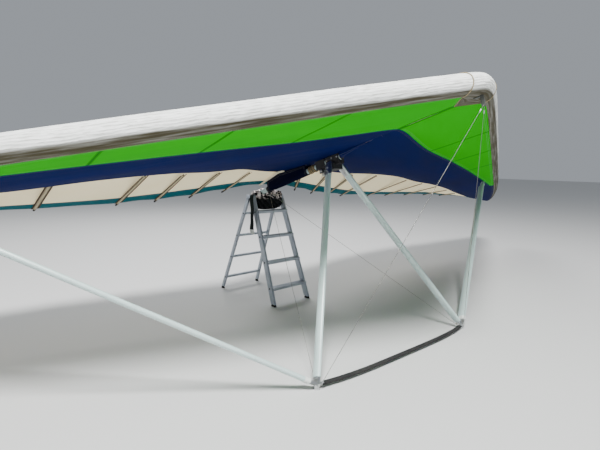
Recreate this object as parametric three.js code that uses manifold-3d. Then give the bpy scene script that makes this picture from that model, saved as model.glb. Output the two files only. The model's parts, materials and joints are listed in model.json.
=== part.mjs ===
// Strut-braced flex-wing hang glider, parked nose high on its control bar.
// Its keel tail lies on a padded stepladder.
// Millimetres, +X to the nose, +Y to port, +Z up. Origin on the ground, under the middle of the wing's box.
import * as THREE from 'three';
import { mergeVertices } from 'three/addons/utils/BufferGeometryUtils.js';
import Module from 'manifold-3d';

const wasm = await Module();
wasm.setup();

// Driving dimensions.

const seatGap = 0.3;
const sliver = 0.001;
const degree = Math.PI / 180;

// Control frame apex, and the keel's tilt as the wing stands.
const apex = new THREE.Vector3(133.15, 0, 1417);
const keelTilt = 15.76 * degree;
const noseHalfAngle = 63.3 * degree;
const anhedral = 4.03 * degree;

// Leading edges: their centre lines meet there, along and above the keel line from the apex, and are
// rounded off in plan between them.
const noseRun = 1380;
const noseRise = 133.4;
const noseRound = 100;
const halfSpan = 5000;

// Sail and lower skin thicknesses.
const skin = 3;
const clothThickness = 7;

// Keel tube.
const keelRadius = 25;
const keelFront = 108;
const keelTail = -1200;
const keelRiseAtApex = 24;
const keelSlope = 0.036;

// Control frame: corners from the apex, and where the downtubes' centre lines start from it.
const cornerX = 791;
const cornerY = 853;
const cornerZ = 30;
const tubeAhead = 20;
const tubeSpread = 62;
const tubeDrop = 12;
const tubeChord = 70;
const tubeThickness = 32;
const barRadius = 15;
const barBow = 50;

// Side struts.
const strutTopRun = -200;
const strutTopSpan = 2853;
const strutTopDrop = 6;
const strutChord = 72;
const strutThickness = 34;

// Rigging wires and where they meet the keel line.
const wireRadius = 1.6;
const noseTangRun = 1352;
const tailTangRun = -958;

// Stepladder: its own frame is turned about the upright and lies a little to port of the keel.
const ladderX = -1112.4;
const ladderY = 84;
const ladderTurn = 3.35 * degree;
const ladderPivotZ = 1062;
const ladderSpread = 446;
const stepSpacing = 246.8;
const stepThickness = 24;
const stepCount = 4;

// Frames.

const alongKeel = new THREE.Vector3(Math.cos(keelTilt), 0, Math.sin(keelTilt));
const aboveKeel = new THREE.Vector3(-Math.sin(keelTilt), 0, Math.cos(keelTilt));
const up = new THREE.Vector3(0, 0, 1);

/** Point at a run along the keel line, a span to port and a rise above the keel line, all from the apex. */
function keelPoint(run, span, rise) {
  return apex.clone()
    .addScaledVector(alongKeel, run)
    .addScaledVector(aboveKeel, rise)
    .add(new THREE.Vector3(0, span, 0));
}

/** Rise of the keel tube's axis above the keel line. */
function keelRise(run) {
  return keelRiseAtApex + keelSlope * run;
}

/** Value at x in a table of [x, value] rows, smooth between the rows. */
function smooth(table, x) {
  const last = table.length - 1;
  if (x <= table[0][0]) {
    return table[0][1];
  }
  for (let row = 0; row < last; row += 1) {
    const [x0, v0] = table[row];
    const [x1, v1] = table[row + 1];
    if (x <= x1) {
      const before = table[Math.max(row - 1, 0)];
      const after = table[Math.min(row + 2, last)];
      const width = x1 - x0;
      const slope0 = ((v1 - before[1]) / (x1 - before[0])) * width;
      const slope1 = ((after[1] - v0) / (after[0] - x0)) * width;
      const t = (x - x0) / width;
      const t2 = t * t;
      const t3 = t2 * t;
      const ends = (2 * t3 - 3 * t2 + 1) * v0 + (3 * t2 - 2 * t3) * v1;
      return ends + (t3 - 2 * t2 + t) * slope0 + (t3 - t2) * slope1;
    }
  }
  return table[last][1];
}

// Spans at which the wing's sections are drawn; between them every surface is straight.
const stations = [
  0, 135, 270, 500, 870, 1200, 1500, 1800, 2200, 2600, 3000, 3300, 3600, 3900, 4200, 4500, 4800, halfSpan,
];

/** Function of the span that agrees with a smooth table at the stations and is straight between them. */
function alongSpan(table) {
  const values = stations.map((span) => smooth(table, span));
  return (span) => {
    const row = Math.min(stations.findLastIndex((station) => station <= span), stations.length - 2);
    const share = (span - stations[row]) / (stations[row + 1] - stations[row]);
    return values[row] + (values[row + 1] - values[row]) * share;
  };
}

/** The stations between two spans, with both ends. */
function spansBetween(from, to) {
  return [from, ...stations.filter((span) => span > from + 1 && span < to - 1), to];
}

// Columns: span, distance behind the leading edge's centre line.
const trailingEdge = alongSpan([
  [0, 2390], [350, 2245], [700, 2165], [1060, 2075], [1500, 1955], [2200, 1695], [2800, 1385],
  [3270, 1110], [3800, 840], [4300, 560], [4700, 330], [5000, 130],
]);
const lowerRearEdge = alongSpan([
  [0, 2040], [220, 2020], [500, 1835], [870, 1662], [1200, 1430], [1450, 1285], [1750, 1150], [2200, 1030],
  [2580, 880], [3130, 725], [3660, 620], [4170, 480], [4600, 270], [5000, 70],
]);
const colourEdge = alongSpan([
  [0, 625], [400, 600], [730, 558], [1020, 490], [1380, 402], [2000, 272], [2550, 172], [3000, 96],
  [3300, 50],
]);
// Columns: span, rise over the flat lower surface.
const rearLift = alongSpan([[0, 40], [300, 92], [700, 100], [3200, 92], [4200, 74], [5000, 32]]);
const trailingLift = alongSpan([
  [0, 0], [500, -10], [900, -16], [1250, 0], [1500, 12], [1800, 33], [2200, 62], [2800, 92], [3800, 108],
  [4400, 92], [5000, 34],
]);
// Columns: span, radius of the leading edge's lower and upper half.
const edgeRadius = alongSpan([[0, 75], [3300, 75], [4200, 66], [4700, 56], [5000, 40]]);
const topRadius = alongSpan([[0, 65], [600, 70], [1200, 75], [3300, 75], [4200, 66], [4700, 56], [5000, 40]]);
// Columns: span, how far the bent tip lies behind the straight leading edge.
const tipBack = alongSpan([[0, 0], [3300, 0], [3600, 4], [4000, 14], [4500, 52], [5000, 110]]);

/** Run and rise of the leading edge's centre at a span. */
function edgeCentre(span) {
  return {
    run: noseRun - Math.hypot(span, noseRound) / Math.tan(noseHalfAngle) - tipBack(span),
    rise: noseRise - span * Math.tan(anhedral),
  };
}

// Columns: share of the way back to the lower skin's rear edge, share of that edge's lift.
const lowerCurve = [[0, 0], [0.5, 0], [0.66, 0.09], [0.8, 0.3], [0.92, 0.68], [1, 1]];

/** Rise of the lower surface over the leading edge's centre, at a distance behind it. */
function lowerRise(span, aft) {
  const share = aft / lowerRearEdge(span);
  const base = -edgeRadius(span);
  const lift = rearLift(span);
  if (share >= 1) {
    const t = (aft - lowerRearEdge(span)) / (trailingEdge(span) - lowerRearEdge(span));
    return base + lift + (trailingLift(span) - lift) * t;
  }
  const row = lowerCurve.findLastIndex(([at]) => at <= share);
  const [from, low] = lowerCurve[row];
  const [to, high] = lowerCurve[row + 1];
  return base + lift * (low + ((high - low) * (share - from)) / (to - from));
}

/** Outline points along the lower surface from a distance behind the edge to the lower skin's rear edge. */
function lowerLine(span, front, offset) {
  const rear = lowerRearEdge(span);
  const bends = lowerCurve.slice(1).map(([share]) => share * rear);
  return [front, ...bends].map((aft) => [aft, lowerRise(span, aft) + offset]);
}

// Solids.

/** Closed geometry from points and triangles, turned to face out. */
function closed(points, triangles) {
  let volume = 0;
  for (const [a, b, c] of triangles) {
    volume += points[a].dot(new THREE.Vector3().crossVectors(points[b], points[c]));
  }
  const index = triangles.flatMap(([a, b, c]) => (volume > 0 ? [a, b, c] : [a, c, b]));
  const geometry = new THREE.BufferGeometry();
  geometry.setAttribute('position', new THREE.Float32BufferAttribute(points.flatMap((p) => p.toArray()), 3));
  geometry.setIndex(index);
  return geometry;
}

/** Closed solid through rings of equal point counts; flat(ring) gives the ring's outline for its end caps. */
function loft(rings, flat) {
  const count = rings[0].length;
  const triangles = [];
  for (let ring = 0; ring + 1 < rings.length; ring += 1) {
    for (let i = 0; i < count; i += 1) {
      const j = (i + 1) % count;
      const a = ring * count + i;
      const b = ring * count + j;
      triangles.push([a, b, b + count], [a, b + count, a + count]);
    }
  }
  const ends = [[0, rings[0], false], [(rings.length - 1) * count, rings.at(-1), true]];
  for (const [start, ring, forward] of ends) {
    const outline = flat(ring);
    const turn = Math.sign(THREE.ShapeUtils.area(outline));
    for (const [a, b, c] of THREE.ShapeUtils.triangulateShape(outline, [])) {
      const same = Math.sign(THREE.ShapeUtils.area([outline[a], outline[b], outline[c]])) === turn;
      const [second, third] = same === forward ? [b, c] : [c, b];
      triangles.push([start + a, start + second, start + third]);
    }
  }
  return closed(rings.flat(), triangles);
}

/** Wing solid: at each span, outline(span) lists [distance behind the leading edge, rise over its centre]. */
function wingSolid(side, spans, outline) {
  const rings = spans.map((span) => {
    const edge = edgeCentre(span);
    return outline(span).map(([aft, rise]) => keelPoint(edge.run - aft, side * span, edge.rise + rise));
  });
  return loft(rings, (ring) => ring.map((p) => {
    const offset = p.clone().sub(apex);
    return new THREE.Vector2(offset.dot(alongKeel), offset.dot(aboveKeel));
  }));
}

/** Places a geometry drawn in x, y and long in z: z runs from start to end, x lies towards chord. */
function placeBar(geometry, start, end, chord) {
  const z = end.clone().sub(start).normalize();
  const x = chord.clone().addScaledVector(z, -chord.dot(z)).normalize();
  const y = new THREE.Vector3().crossVectors(z, x);
  const matrix = new THREE.Matrix4().makeBasis(x, y, z).setPosition(start);
  return geometry.applyMatrix4(matrix);
}

/** Straight bar of one section between two points. */
function bar(shape, start, end, chord = alongKeel, curveSegments = 4) {
  const depth = start.distanceTo(end);
  const geometry = new THREE.ExtrudeGeometry(shape, { depth, bevelEnabled: false, curveSegments });
  return placeBar(geometry, start, end, chord);
}

/** Round section as a polygon of that many sides. */
function circle(radius, sides) {
  return new THREE.Shape(Array.from({ length: sides }, (_, side) => {
    const angle = (2 * Math.PI * side) / sides;
    return new THREE.Vector2(radius * Math.cos(angle), radius * Math.sin(angle));
  }));
}

function rectangle(width, height) {
  const shape = new THREE.Shape();
  shape.moveTo(-width / 2, -height / 2);
  shape.lineTo(width / 2, -height / 2);
  shape.lineTo(width / 2, height / 2);
  shape.lineTo(-width / 2, height / 2);
  shape.closePath();
  return shape;
}

/** Streamlined section, its round front towards +x. */
function streamline(chord, thickness) {
  const front = 0.38 * chord;
  const back = -0.62 * chord;
  const half = thickness / 2;
  const shape = new THREE.Shape();
  shape.moveTo(0, -half);
  shape.bezierCurveTo(0.24 * chord, -half, front, -0.6 * half, front, 0);
  shape.bezierCurveTo(front, 0.6 * half, 0.24 * chord, half, 0, half);
  shape.bezierCurveTo(-0.3 * chord, half, 0.8 * back, 0.35 * half, back, 0.1 * half);
  shape.lineTo(back, -0.1 * half);
  shape.bezierCurveTo(0.8 * back, -0.35 * half, -0.3 * chord, -half, 0, -half);
  return shape;
}

/** Box by its low and high corners. */
function block(low, high) {
  const size = high.map((value, axis) => value - low[axis]);
  const centre = high.map((value, axis) => (value + low[axis]) / 2);
  return new THREE.BoxGeometry(...size).translate(...centre);
}

/** Box whose corners are given as run, span and rise on the keel line. */
function keelBlock(low, high) {
  const basis = new THREE.Matrix4()
    .makeBasis(alongKeel, new THREE.Vector3(0, 1, 0), aboveKeel)
    .setPosition(apex);
  return block(low, high).applyMatrix4(basis);
}

function solid(geometry) {
  const bare = geometry.clone();
  bare.deleteAttribute('normal');
  bare.deleteAttribute('uv');
  const merged = mergeVertices(bare);
  return new wasm.Manifold(new wasm.Mesh({
    numProp: 3,
    vertProperties: merged.attributes.position.array,
    triVerts: new Uint32Array(merged.index.array),
  }));
}

function geometryOf(body) {
  const { vertProperties, triVerts } = body.simplify(sliver).getMesh();
  const geometry = new THREE.BufferGeometry();
  geometry.setAttribute('position', new THREE.BufferAttribute(vertProperties, 3));
  geometry.setIndex(new THREE.BufferAttribute(triVerts, 1));
  return geometry;
}

function join(...geometries) {
  return geometryOf(geometries.map(solid).reduce((sum, next) => sum.add(next)));
}

function cut(geometry, ...tools) {
  return geometryOf(tools.map(solid).reduce((rest, tool) => rest.subtract(tool), solid(geometry)));
}

// Materials.

const finishes = {
  whiteCloth: { color: 0xe9efe6, roughness: 0.7, metalness: 0 },
  sailCloth: { color: 0xd5ceb8, roughness: 0.75, metalness: 0 },
  greenCloth: { color: 0x329b05, roughness: 0.65, metalness: 0 },
  blueCloth: { color: 0x031e50, roughness: 0.65, metalness: 0 },
  tealCloth: { color: 0x1a6672, roughness: 0.7, metalness: 0 },
  navyCloth: { color: 0x05042e, roughness: 0.8, metalness: 0 },
  paintedTube: { color: 0xc9dbe0, roughness: 0.35, metalness: 0.2 },
  brightFitting: { color: 0xb9bdbd, roughness: 0.35, metalness: 0.9 },
  whitePlastic: { color: 0xe8ecea, roughness: 0.45, metalness: 0 },
  blackFitting: { color: 0x141517, roughness: 0.5, metalness: 0.3 },
  blackGrip: { color: 0x101112, roughness: 0.8, metalness: 0 },
  steelWire: { color: 0x8d8f8c, roughness: 0.4, metalness: 0.9 },
  tanWebbing: { color: 0x8a7a52, roughness: 0.85, metalness: 0 },
  ladderMetal: { color: 0x969ba5, roughness: 0.45, metalness: 0.8 },
  blackRubber: { color: 0x17181a, roughness: 0.9, metalness: 0 },
  wovenCloth: { color: 0x55585a, roughness: 0.95, metalness: 0 },
};
const materials = Object.fromEntries(
  Object.entries(finishes).map(([name, finish]) => [name, new THREE.MeshStandardMaterial(finish)]),
);

const glider = new THREE.Group();

/** Adds one named piece, in the glider's frame unless a turned group holds it. */
function piece(name, geometry, finish, parent = glider) {
  const mesh = new THREE.Mesh(geometry, materials[finish]);
  mesh.name = name;
  parent.add(mesh);
  return mesh;
}

// Wing.

const sides = [['left', 1], ['right', -1]];
const rootSpan = 0.25;
const capSpan = stations[1];
const colourEnd = 3300;
const noseLip = 165;
const bandDepth = 140;
const camber = 0.055;

/** Front half of the leading edge's section at a span, from below to above. */
function frontArc(span, steps) {
  const reach = edgeRadius(span) / Math.sin(noseHalfAngle);
  return Array.from({ length: steps + 1 }, (_, step) => {
    const angle = -Math.PI / 2 + (Math.PI * step) / steps;
    const radius = angle > 0 ? topRadius(span) : edgeRadius(span);
    return [-reach * Math.cos(angle), radius * Math.sin(angle)];
  });
}

/** Rise of the upper surface over the leading edge's centre, at a distance behind it. */
function upperRise(span, aft) {
  const radius = topRadius(span);
  const share = aft / trailingEdge(span);
  const crown = 6.75 * camber * trailingEdge(span) * share * (1 - share) * (1 - share);
  const base = radius + (lowerRise(span, aft) + clothThickness - radius) * share * (2 - share);
  return Math.max(base + crown, lowerRise(span, aft) + clothThickness + skin);
}

/** How far behind the leading edge the nose cap reaches at a span: its lips are straight in plan. */
function capDepth(span) {
  if (span >= capSpan) {
    return 0;
  }
  const middle = edgeCentre(0).run - noseLip;
  const side = edgeCentre(capSpan).run;
  return edgeCentre(span).run - middle - ((side - middle) * span) / capSpan;
}

/** Where the coloured band along the trailing edge starts. */
function bandStart(span) {
  return trailingEdge(span) - Math.min(bandDepth, 0.3 * (trailingEdge(span) - lowerRearEdge(span)));
}

/** Sail: everything behind the leading edge and above the lower skins, one cloth behind them. */
function sailOutline(span) {
  const front = capDepth(span) + seatGap;
  const rear = lowerRearEdge(span);
  const end = bandStart(span) - seatGap;
  const crest = [1, 0.8, 0.62, 0.45, 0.3, 0.17, 0.08, 0].map((share) => front + (rear - front) * share);
  return [
    ...lowerLine(span, front, skin + seatGap),
    [rear + skin, lowerRise(span, rear + skin)],
    [end, lowerRise(span, end)],
    ...[end, ...crest].map((aft) => [aft, upperRise(span, aft)]),
  ];
}

/** Lower skin between two distances behind the leading edge, its rear bends those of the sail. */
function skinOutline(span, front, rear) {
  const line = rear === undefined
    ? lowerLine(span, front, 0)
    : [[front, lowerRise(span, front)], [rear, lowerRise(span, rear)]];
  return [...line.map(([aft, rise]) => [aft, rise + skin]), ...line.reverse()];
}

// Battens: span at the lower skin's rear edge and at the trailing edge.
const battenLines = [
  [300, 435], [655, 755], [1010, 1070], [1353, 1391], [1996, 2006], [2430, 2430], [2870, 2860], [3320, 3300],
  [3780, 3750],
];
const battenRadius = 6;
const battenReach = 50;

/** Span of a batten's line at a distance behind the leading edge. */
function battenSpan([inner, outer], aft) {
  const start = lowerRearEdge(inner);
  return inner + ((outer - inner) * (aft - start)) / (trailingEdge(outer) - start);
}

/** Distance behind the leading edge at which a batten's line meets the coloured band. */
function bandCrossing(line) {
  return bandStart(battenSpan(line, bandStart(line[1])));
}

/** Batten in its pocket under the single cloth, between two distances behind the edge. */
function batten(side, line, from, to) {
  const at = (aft) => {
    const span = battenSpan(line, aft);
    const edge = edgeCentre(span);
    return keelPoint(edge.run - aft, side * span, edge.rise + lowerRise(span, aft) + 1);
  };
  return bar(circle(battenRadius, 6), at(from), at(to), aboveKeel);
}

for (const [name, side] of sides) {
  const edgeSpans = spansBetween(capSpan + seatGap, halfSpan);
  const edge = wingSolid(side, edgeSpans, (span) => frontArc(span, 8));
  piece(`leading_edge_${name}`, edge, 'whiteCloth');

  const sail = wingSolid(side, spansBetween(rootSpan, halfSpan), sailOutline);
  const ribs = battenLines.map((line) => {
    return batten(side, line, lowerRearEdge(line[0]) + 32, bandCrossing(line) - 2 * battenRadius);
  });
  piece(`sail_${name}`, join(sail, ...ribs), 'sailCloth');

  const green = wingSolid(side, spansBetween(rootSpan, colourEnd), (span) => {
    return skinOutline(span, capDepth(span) + seatGap, colourEdge(span));
  });
  piece(`lower_skin_front_${name}`, green, 'greenCloth');

  const blue = wingSolid(side, spansBetween(rootSpan, colourEnd), (span) => {
    return skinOutline(span, colourEdge(span) + seatGap);
  });
  piece(`lower_skin_rear_${name}`, blue, 'blueCloth');

  const tipSpans = spansBetween(colourEnd + seatGap, halfSpan);
  const tip = wingSolid(side, tipSpans, (span) => skinOutline(span, seatGap));
  piece(`lower_skin_tip_${name}`, tip, 'blueCloth');

  const band = wingSolid(side, spansBetween(rootSpan, halfSpan), (span) => {
    const front = bandStart(span);
    const rear = trailingEdge(span);
    return [
      [front, lowerRise(span, front)], [rear, lowerRise(span, rear)],
      [rear, lowerRise(span, rear) + 5], [front, upperRise(span, front)],
    ];
  });
  const tips = battenLines.map((line) => {
    return batten(side, line, bandCrossing(line) + 2 * battenRadius, trailingEdge(line[1]) + battenReach);
  });
  piece(`trailing_band_${name}`, join(band, ...tips), 'tealCloth');
}

// Nose.

/** Nose cap: the leading edges' sections run together round the nose, with lips above and below. */
function capRing(span) {
  const distance = Math.abs(span);
  const edge = edgeCentre(distance);
  const lip = capDepth(distance);
  const crest = [0.35, 0.7, 1].map((share) => [lip * share, upperRise(distance, lip * share)]);
  const outline = [...frontArc(distance, 8), ...crest, [lip, -edgeRadius(distance)]];
  return outline.map(([aft, rise]) => keelPoint(edge.run - aft, span, edge.rise + rise));
}

const capSpans = [-capSpan, -95, -60, -30, 0, 30, 60, 95, capSpan];
const capGeometry = loft(capSpans.map(capRing), (ring) => ring.map((p) => {
  const offset = p.clone().sub(apex);
  return new THREE.Vector2(offset.dot(alongKeel), offset.dot(aboveKeel));
}));
piece('nose_cap', capGeometry, 'whiteCloth');

const capFloor = noseRise - edgeRadius(0);

/** Rise at which a flat top that wide meets the wing's lower surface at its two edges. */
function skinFloor(halfWidth) {
  return capFloor - halfWidth * Math.tan(anhedral) - seatGap;
}

const flangeHalf = 14;
const flangeTop = skinFloor(flangeHalf);
const nosePlate = join(
  keelBlock([noseTangRun - 52, -flangeHalf, flangeTop - 7], [noseTangRun, flangeHalf, flangeTop]),
  keelBlock([noseTangRun - 16, -3, -14], [noseTangRun + 8, 3, flangeTop - 3]),
);
piece('nose_plate', nosePlate, 'brightFitting');

// Keel.

const keelAt = (run) => keelPoint(run, 0, keelRise(run));
const keelTube = bar(circle(keelRadius, 16), keelAt(keelTail + 6), keelAt(keelFront), aboveKeel);
const keelCap = bar(
  circle(keelRadius + 2, 16), keelAt(keelTail - 8), keelAt(keelTail + 6 - seatGap), aboveKeel,
);
piece('keel_tube', keelTube, 'paintedTube');
piece('keel_end_plug', keelCap, 'blackRubber');

/** Clearance hole round the keel line for a round body of that radius, between two runs. */
function keelHole(radius, from, to) {
  return bar(circle(radius / Math.cos(Math.PI / 16), 16), keelAt(from), keelAt(to), aboveKeel);
}

/** Clearance hole for the whole keel tube. */
function keelBore(clearance) {
  return keelHole(keelRadius + clearance, keelTail, keelFront + 200);
}

const pocketRuns = [-320, -450, -600, -760, -850, -938];
const pocket = loft(
  pocketRuns.map((run) => {
    const floors = [0, 34].map((span) => edgeCentre(span).rise + lowerRise(span, edgeCentre(span).run - run));
    const roof = Math.min(...floors) - 3;
    const axis = keelRise(run);
    const half = keelRadius + 9;
    const outline = [
      [-34, roof], [-half, axis], [-half * 0.72, axis - half * 0.72], [0, axis - half],
      [half * 0.72, axis - half * 0.72], [half, axis], [34, roof],
    ];
    return outline.map(([span, rise]) => keelPoint(run, span, rise));
  }),
  (ring) => ring.map((p) => new THREE.Vector2(p.y, p.clone().sub(apex).dot(aboveKeel))),
);
piece('keel_pocket', cut(pocket, keelBore(seatGap)), 'navyCloth');

const fairingRuns = [[keelFront + 4, 26], [200, 24], [300, 16], [400, 6]];
const fairing = loft(
  fairingRuns.map(([run, depth]) => {
    const half = 14 + depth * 0.7;
    const roof = skinFloor(half);
    const outline = [
      [-half, roof], [-half * 0.9, roof - depth], [-half * 0.4, roof - depth * 1.8],
      [half * 0.4, roof - depth * 1.8], [half * 0.9, roof - depth], [half, roof],
    ];
    return outline.map(([span, rise]) => keelPoint(run, span, rise));
  }),
  (ring) => ring.map((p) => new THREE.Vector2(p.y, p.clone().sub(apex).dot(aboveKeel))),
);
piece('keel_fairing', fairing, 'blueCloth');

const strapRun = -252;
const strap = bar(circle(keelRadius + 14, 16), keelAt(strapRun - 46), keelAt(strapRun + 46), aboveKeel);
piece('keel_strap', cut(strap, keelBore(seatGap)), 'tanWebbing');

// Control frame.

// The bracket's broad foot carries the downtubes' tops on its two side faces.
const lugHalf = 50;
const bracket = cut(
  join(
    keelBlock([-58, -32, -26], [100, 32, skinFloor(32)]),
    keelBlock([-34, -lugHalf, -62], [52, lugHalf, -4]),
  ),
  keelBore(seatGap),
);
piece('frame_bracket', bracket, 'blackFitting');

const sleeveStart = -14;
const sleeveEnd = 110;
const cornerReach = 46;
const strutReach = 60;
const knuckleLength = 40;
const headDrop = 92;
const plugReach = 52;
const postRadius = 20;
const postHeight = 40;
const headRadius = 20;

for (const [name, side] of sides) {
  const corner = new THREE.Vector3(apex.x + cornerX, side * cornerY, cornerZ);
  const start = apex.clone().add(new THREE.Vector3(tubeAhead, side * tubeSpread, -tubeDrop));
  const down = corner.clone().sub(start).normalize();
  const along = (distance) => start.clone().addScaledVector(down, distance);
  const length = start.distanceTo(corner);

  const sleeveShape = streamline(tubeChord + 6, tubeThickness + 4);
  const sleeve = bar(sleeveShape, along(sleeveStart), along(sleeveEnd), alongKeel);
  const lugRoom = lugHalf + seatGap;
  const lugCut = block([apex.x - 300, -lugRoom, 0], [apex.x + 300, lugRoom, apex.z + 300]);
  piece(`downtube_top_${name}`, cut(sleeve, lugCut), 'brightFitting');

  const tube = bar(
    streamline(tubeChord, tubeThickness), along(sleeveEnd + seatGap), along(length - cornerReach), alongKeel,
  );
  piece(`downtube_${name}`, tube, 'paintedTube');

  const topEdge = edgeCentre(strutTopSpan);
  const topSkin = topEdge.rise + lowerRise(strutTopSpan, topEdge.run - strutTopRun);
  const strutTop = keelPoint(strutTopRun, side * strutTopSpan, topSkin - strutTopDrop);
  const outward = strutTop.clone().sub(corner).normalize();
  const strutLength = corner.distanceTo(strutTop);
  const onStrut = (distance) => corner.clone().addScaledVector(outward, distance);
  const strutStart = onStrut(strutReach + knuckleLength + seatGap);
  const strut = bar(
    streamline(strutChord, strutThickness), strutStart, onStrut(strutLength - headDrop), alongKeel,
  );
  piece(`strut_${name}`, strut, 'paintedTube');

  const knuckleShape = streamline(strutChord + 4, strutThickness + 4);
  const knuckleEnd = onStrut(strutReach + knuckleLength);
  const knuckle = bar(knuckleShape, onStrut(strutReach), knuckleEnd, alongKeel);
  piece(`strut_knuckle_${name}`, knuckle, 'whitePlastic');

  const inward = new THREE.Vector3((4 * barBow) / cornerY, -side, 0).normalize();
  const fitting = join(
    bar(circle(postRadius, 12), corner.clone().setZ(0), corner.clone().setZ(postHeight), alongKeel),
    bar(rectangle(32, 18), corner.clone(), along(length - cornerReach + seatGap), alongKeel),
    bar(rectangle(40, 20), corner.clone(), onStrut(strutReach - seatGap), alongKeel),
    bar(circle(12, 10), corner.clone(), corner.clone().addScaledVector(inward, plugReach), up),
  );
  piece(`corner_fitting_${name}`, fitting, 'brightFitting');

  const headAxis = onStrut(strutLength - headDrop + seatGap);
  const headTop = onStrut(strutLength - 26);
  const head = join(
    bar(rectangle(46, 20), headAxis, headTop, alongKeel),
    bar(
      circle(headRadius, 12),
      strutTop.clone().addScaledVector(aboveKeel, -44),
      strutTop.clone().addScaledVector(aboveKeel, strutTopDrop - headRadius * Math.tan(anhedral) - seatGap),
      alongKeel,
    ),
  );
  piece(`strut_head_${name}`, head, 'paintedTube');
}

// The base bar is bowed forward, flat in its middle and bent most at its ends.
const barHalf = cornerY - plugReach - 0.4;
const barPath = new THREE.CatmullRomCurve3(Array.from({ length: 15 }, (_, step) => {
  const y = (step / 7 - 1) * barHalf;
  return new THREE.Vector3(apex.x + cornerX + barBow * (1 - (y / cornerY) ** 4), y, cornerZ);
}));
const baseBar = new THREE.ExtrudeGeometry(circle(barRadius, 12), { steps: 14, extrudePath: barPath });
piece('base_bar', baseBar, 'blackGrip');

// Hang point.

const hangRun = -132;
const pivotRise = -36;
const cheek = join(
  cut(keelBlock([hangRun - 56, -30, -14], [hangRun + 56, 30, skinFloor(30)]), keelBore(seatGap)),
  keelBlock([hangRun - 24, 19, -56], [hangRun + 24, 27, -12]),
  keelBlock([hangRun - 24, -27, -56], [hangRun + 24, -19, -12]),
);
piece('hang_bracket', cheek, 'blackFitting');

const hangOutline = new THREE.Shape();
hangOutline.absarc(0, 0, 15, 0, Math.PI);
hangOutline.lineTo(-15, -42);
hangOutline.lineTo(15, -42);
hangOutline.closePath();
const hangBody = new THREE.ExtrudeGeometry(hangOutline, { depth: 24, bevelEnabled: false, curveSegments: 8 });
const hangBasis = new THREE.Matrix4()
  .makeBasis(alongKeel, aboveKeel, new THREE.Vector3(0, -1, 0))
  .setPosition(keelPoint(hangRun, 12, pivotRise));
hangBody.applyMatrix4(hangBasis);
const pinHalf = 19 - seatGap;
const hangPin = bar(
  circle(6, 12), keelPoint(hangRun, -pinHalf, pivotRise), keelPoint(hangRun, pinHalf, pivotRise), aboveKeel,
);
piece('hang_block', join(hangBody, hangPin), 'brightFitting');

// Rigging.

const tailAxis = keelRise(tailTangRun);
const tailTab = tailAxis - keelRadius - 26;
const tailCollar = cut(
  join(
    bar(circle(keelRadius + 5, 16), keelAt(tailTangRun - 14), keelAt(tailTangRun + 14), aboveKeel),
    keelBlock([tailTangRun - 12, -4, tailTab], [tailTangRun + 12, 4, tailAxis]),
  ),
  keelBore(seatGap),
);
piece('tail_tang', tailCollar, 'blackFitting');

for (const [name, side] of sides) {
  const corner = new THREE.Vector3(apex.x + cornerX, side * cornerY, cornerZ);
  // The front wire leaves the front of the corner's post, the rear wire its inner side, low down.
  const nose = keelPoint(noseTangRun, side * (3 + seatGap + wireRadius), -4);
  const tail = keelPoint(tailTangRun, side * (4 + seatGap + wireRadius), tailTab + 8);
  const frontStart = new THREE.Vector3(corner.x + postRadius + wireRadius + seatGap, corner.y, 16);
  const low = corner.clone().setZ(5);
  const reach = (postRadius + 0.9) / Math.hypot(tail.x - low.x, tail.y - low.y);
  const rearStart = low.clone().lerp(tail, reach);
  piece(`front_wire_${name}`, bar(circle(wireRadius, 6), frontStart, nose, up), 'steelWire');
  piece(`rear_wire_${name}`, bar(circle(wireRadius, 6), rearStart, tail, up), 'steelWire');
}

// Stepladder.

const ladder = new THREE.Group();
ladder.position.set(apex.x + ladderX, ladderY, 0);
ladder.rotation.z = ladderTurn;
glider.add(ladder);

const footHeight = 22;

// Columns: direction to the foot, frame plane's offset from the pivot, half width at the foot and at the top,
// rail's width and depth, step's depth ahead and behind, how far the steps lie below the even spacing.
const frames = {
  front: {
    dir: 1, offset: 36, footHalf: 228, topHalf: 186, wide: 24, deep: 56, ahead: 52, behind: 26, below: 79,
  },
  rear: {
    dir: -1, offset: 30, footHalf: 240, topHalf: 186, wide: 20, deep: 36, ahead: 14, behind: 14, below: 110,
  },
};

/** Rails and steps of one half of the ladder, leaning from its feet to the pivot. */
function ladderFrame({ dir, offset, footHalf, topHalf, wide, deep, ahead, behind, below }) {
  const reach = Math.hypot(ladderSpread, ladderPivotZ);
  const lean = Math.atan2(ladderSpread, ladderPivotZ) - Math.asin(offset / reach);
  const outDir = new THREE.Vector3(dir * Math.cos(lean), 0, Math.sin(lean));
  const at = (height, span) => {
    const drop = (ladderPivotZ + offset * Math.sin(lean) - height) / Math.cos(lean);
    return new THREE.Vector3(dir * (offset * Math.cos(lean) + drop * Math.sin(lean)), span, height);
  };
  const topZ = ladderPivotZ + 6;
  const spanAt = (height) => footHalf + (topHalf - footHalf) * (height / ladderPivotZ);
  const parts = [];
  for (const side of [-1, 1]) {
    const foot = at(-40, side * spanAt(-40));
    const rail = bar(rectangle(deep, wide), foot, at(topZ, side * spanAt(topZ)), outDir);
    parts.push(cut(rail, block([-900, -600, -300], [900, 600, footHeight + seatGap])));
  }
  for (let step = 1; step <= stepCount; step += 1) {
    const height = step * stepSpacing - below;
    const mid = at(height, 0).x;
    const half = spanAt(height);
    const low = dir > 0 ? mid - behind : mid - ahead;
    const high = dir > 0 ? mid + ahead : mid + behind;
    const reachUp = stepThickness / 2;
    parts.push(block([low, -half, height - reachUp], [high, half, height + reachUp]));
  }
  return { parts, at, spanAt, deep, wide };
}

/** Box on one side of the ladder, its y given from the middle outwards. */
function sideBlock(side, [x0, y0, z0], [x1, y1, z1]) {
  return side > 0 ? block([x0, y0, z0], [x1, y1, z1]) : block([x0, -y1, z0], [x1, -y0, z1]);
}

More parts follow.
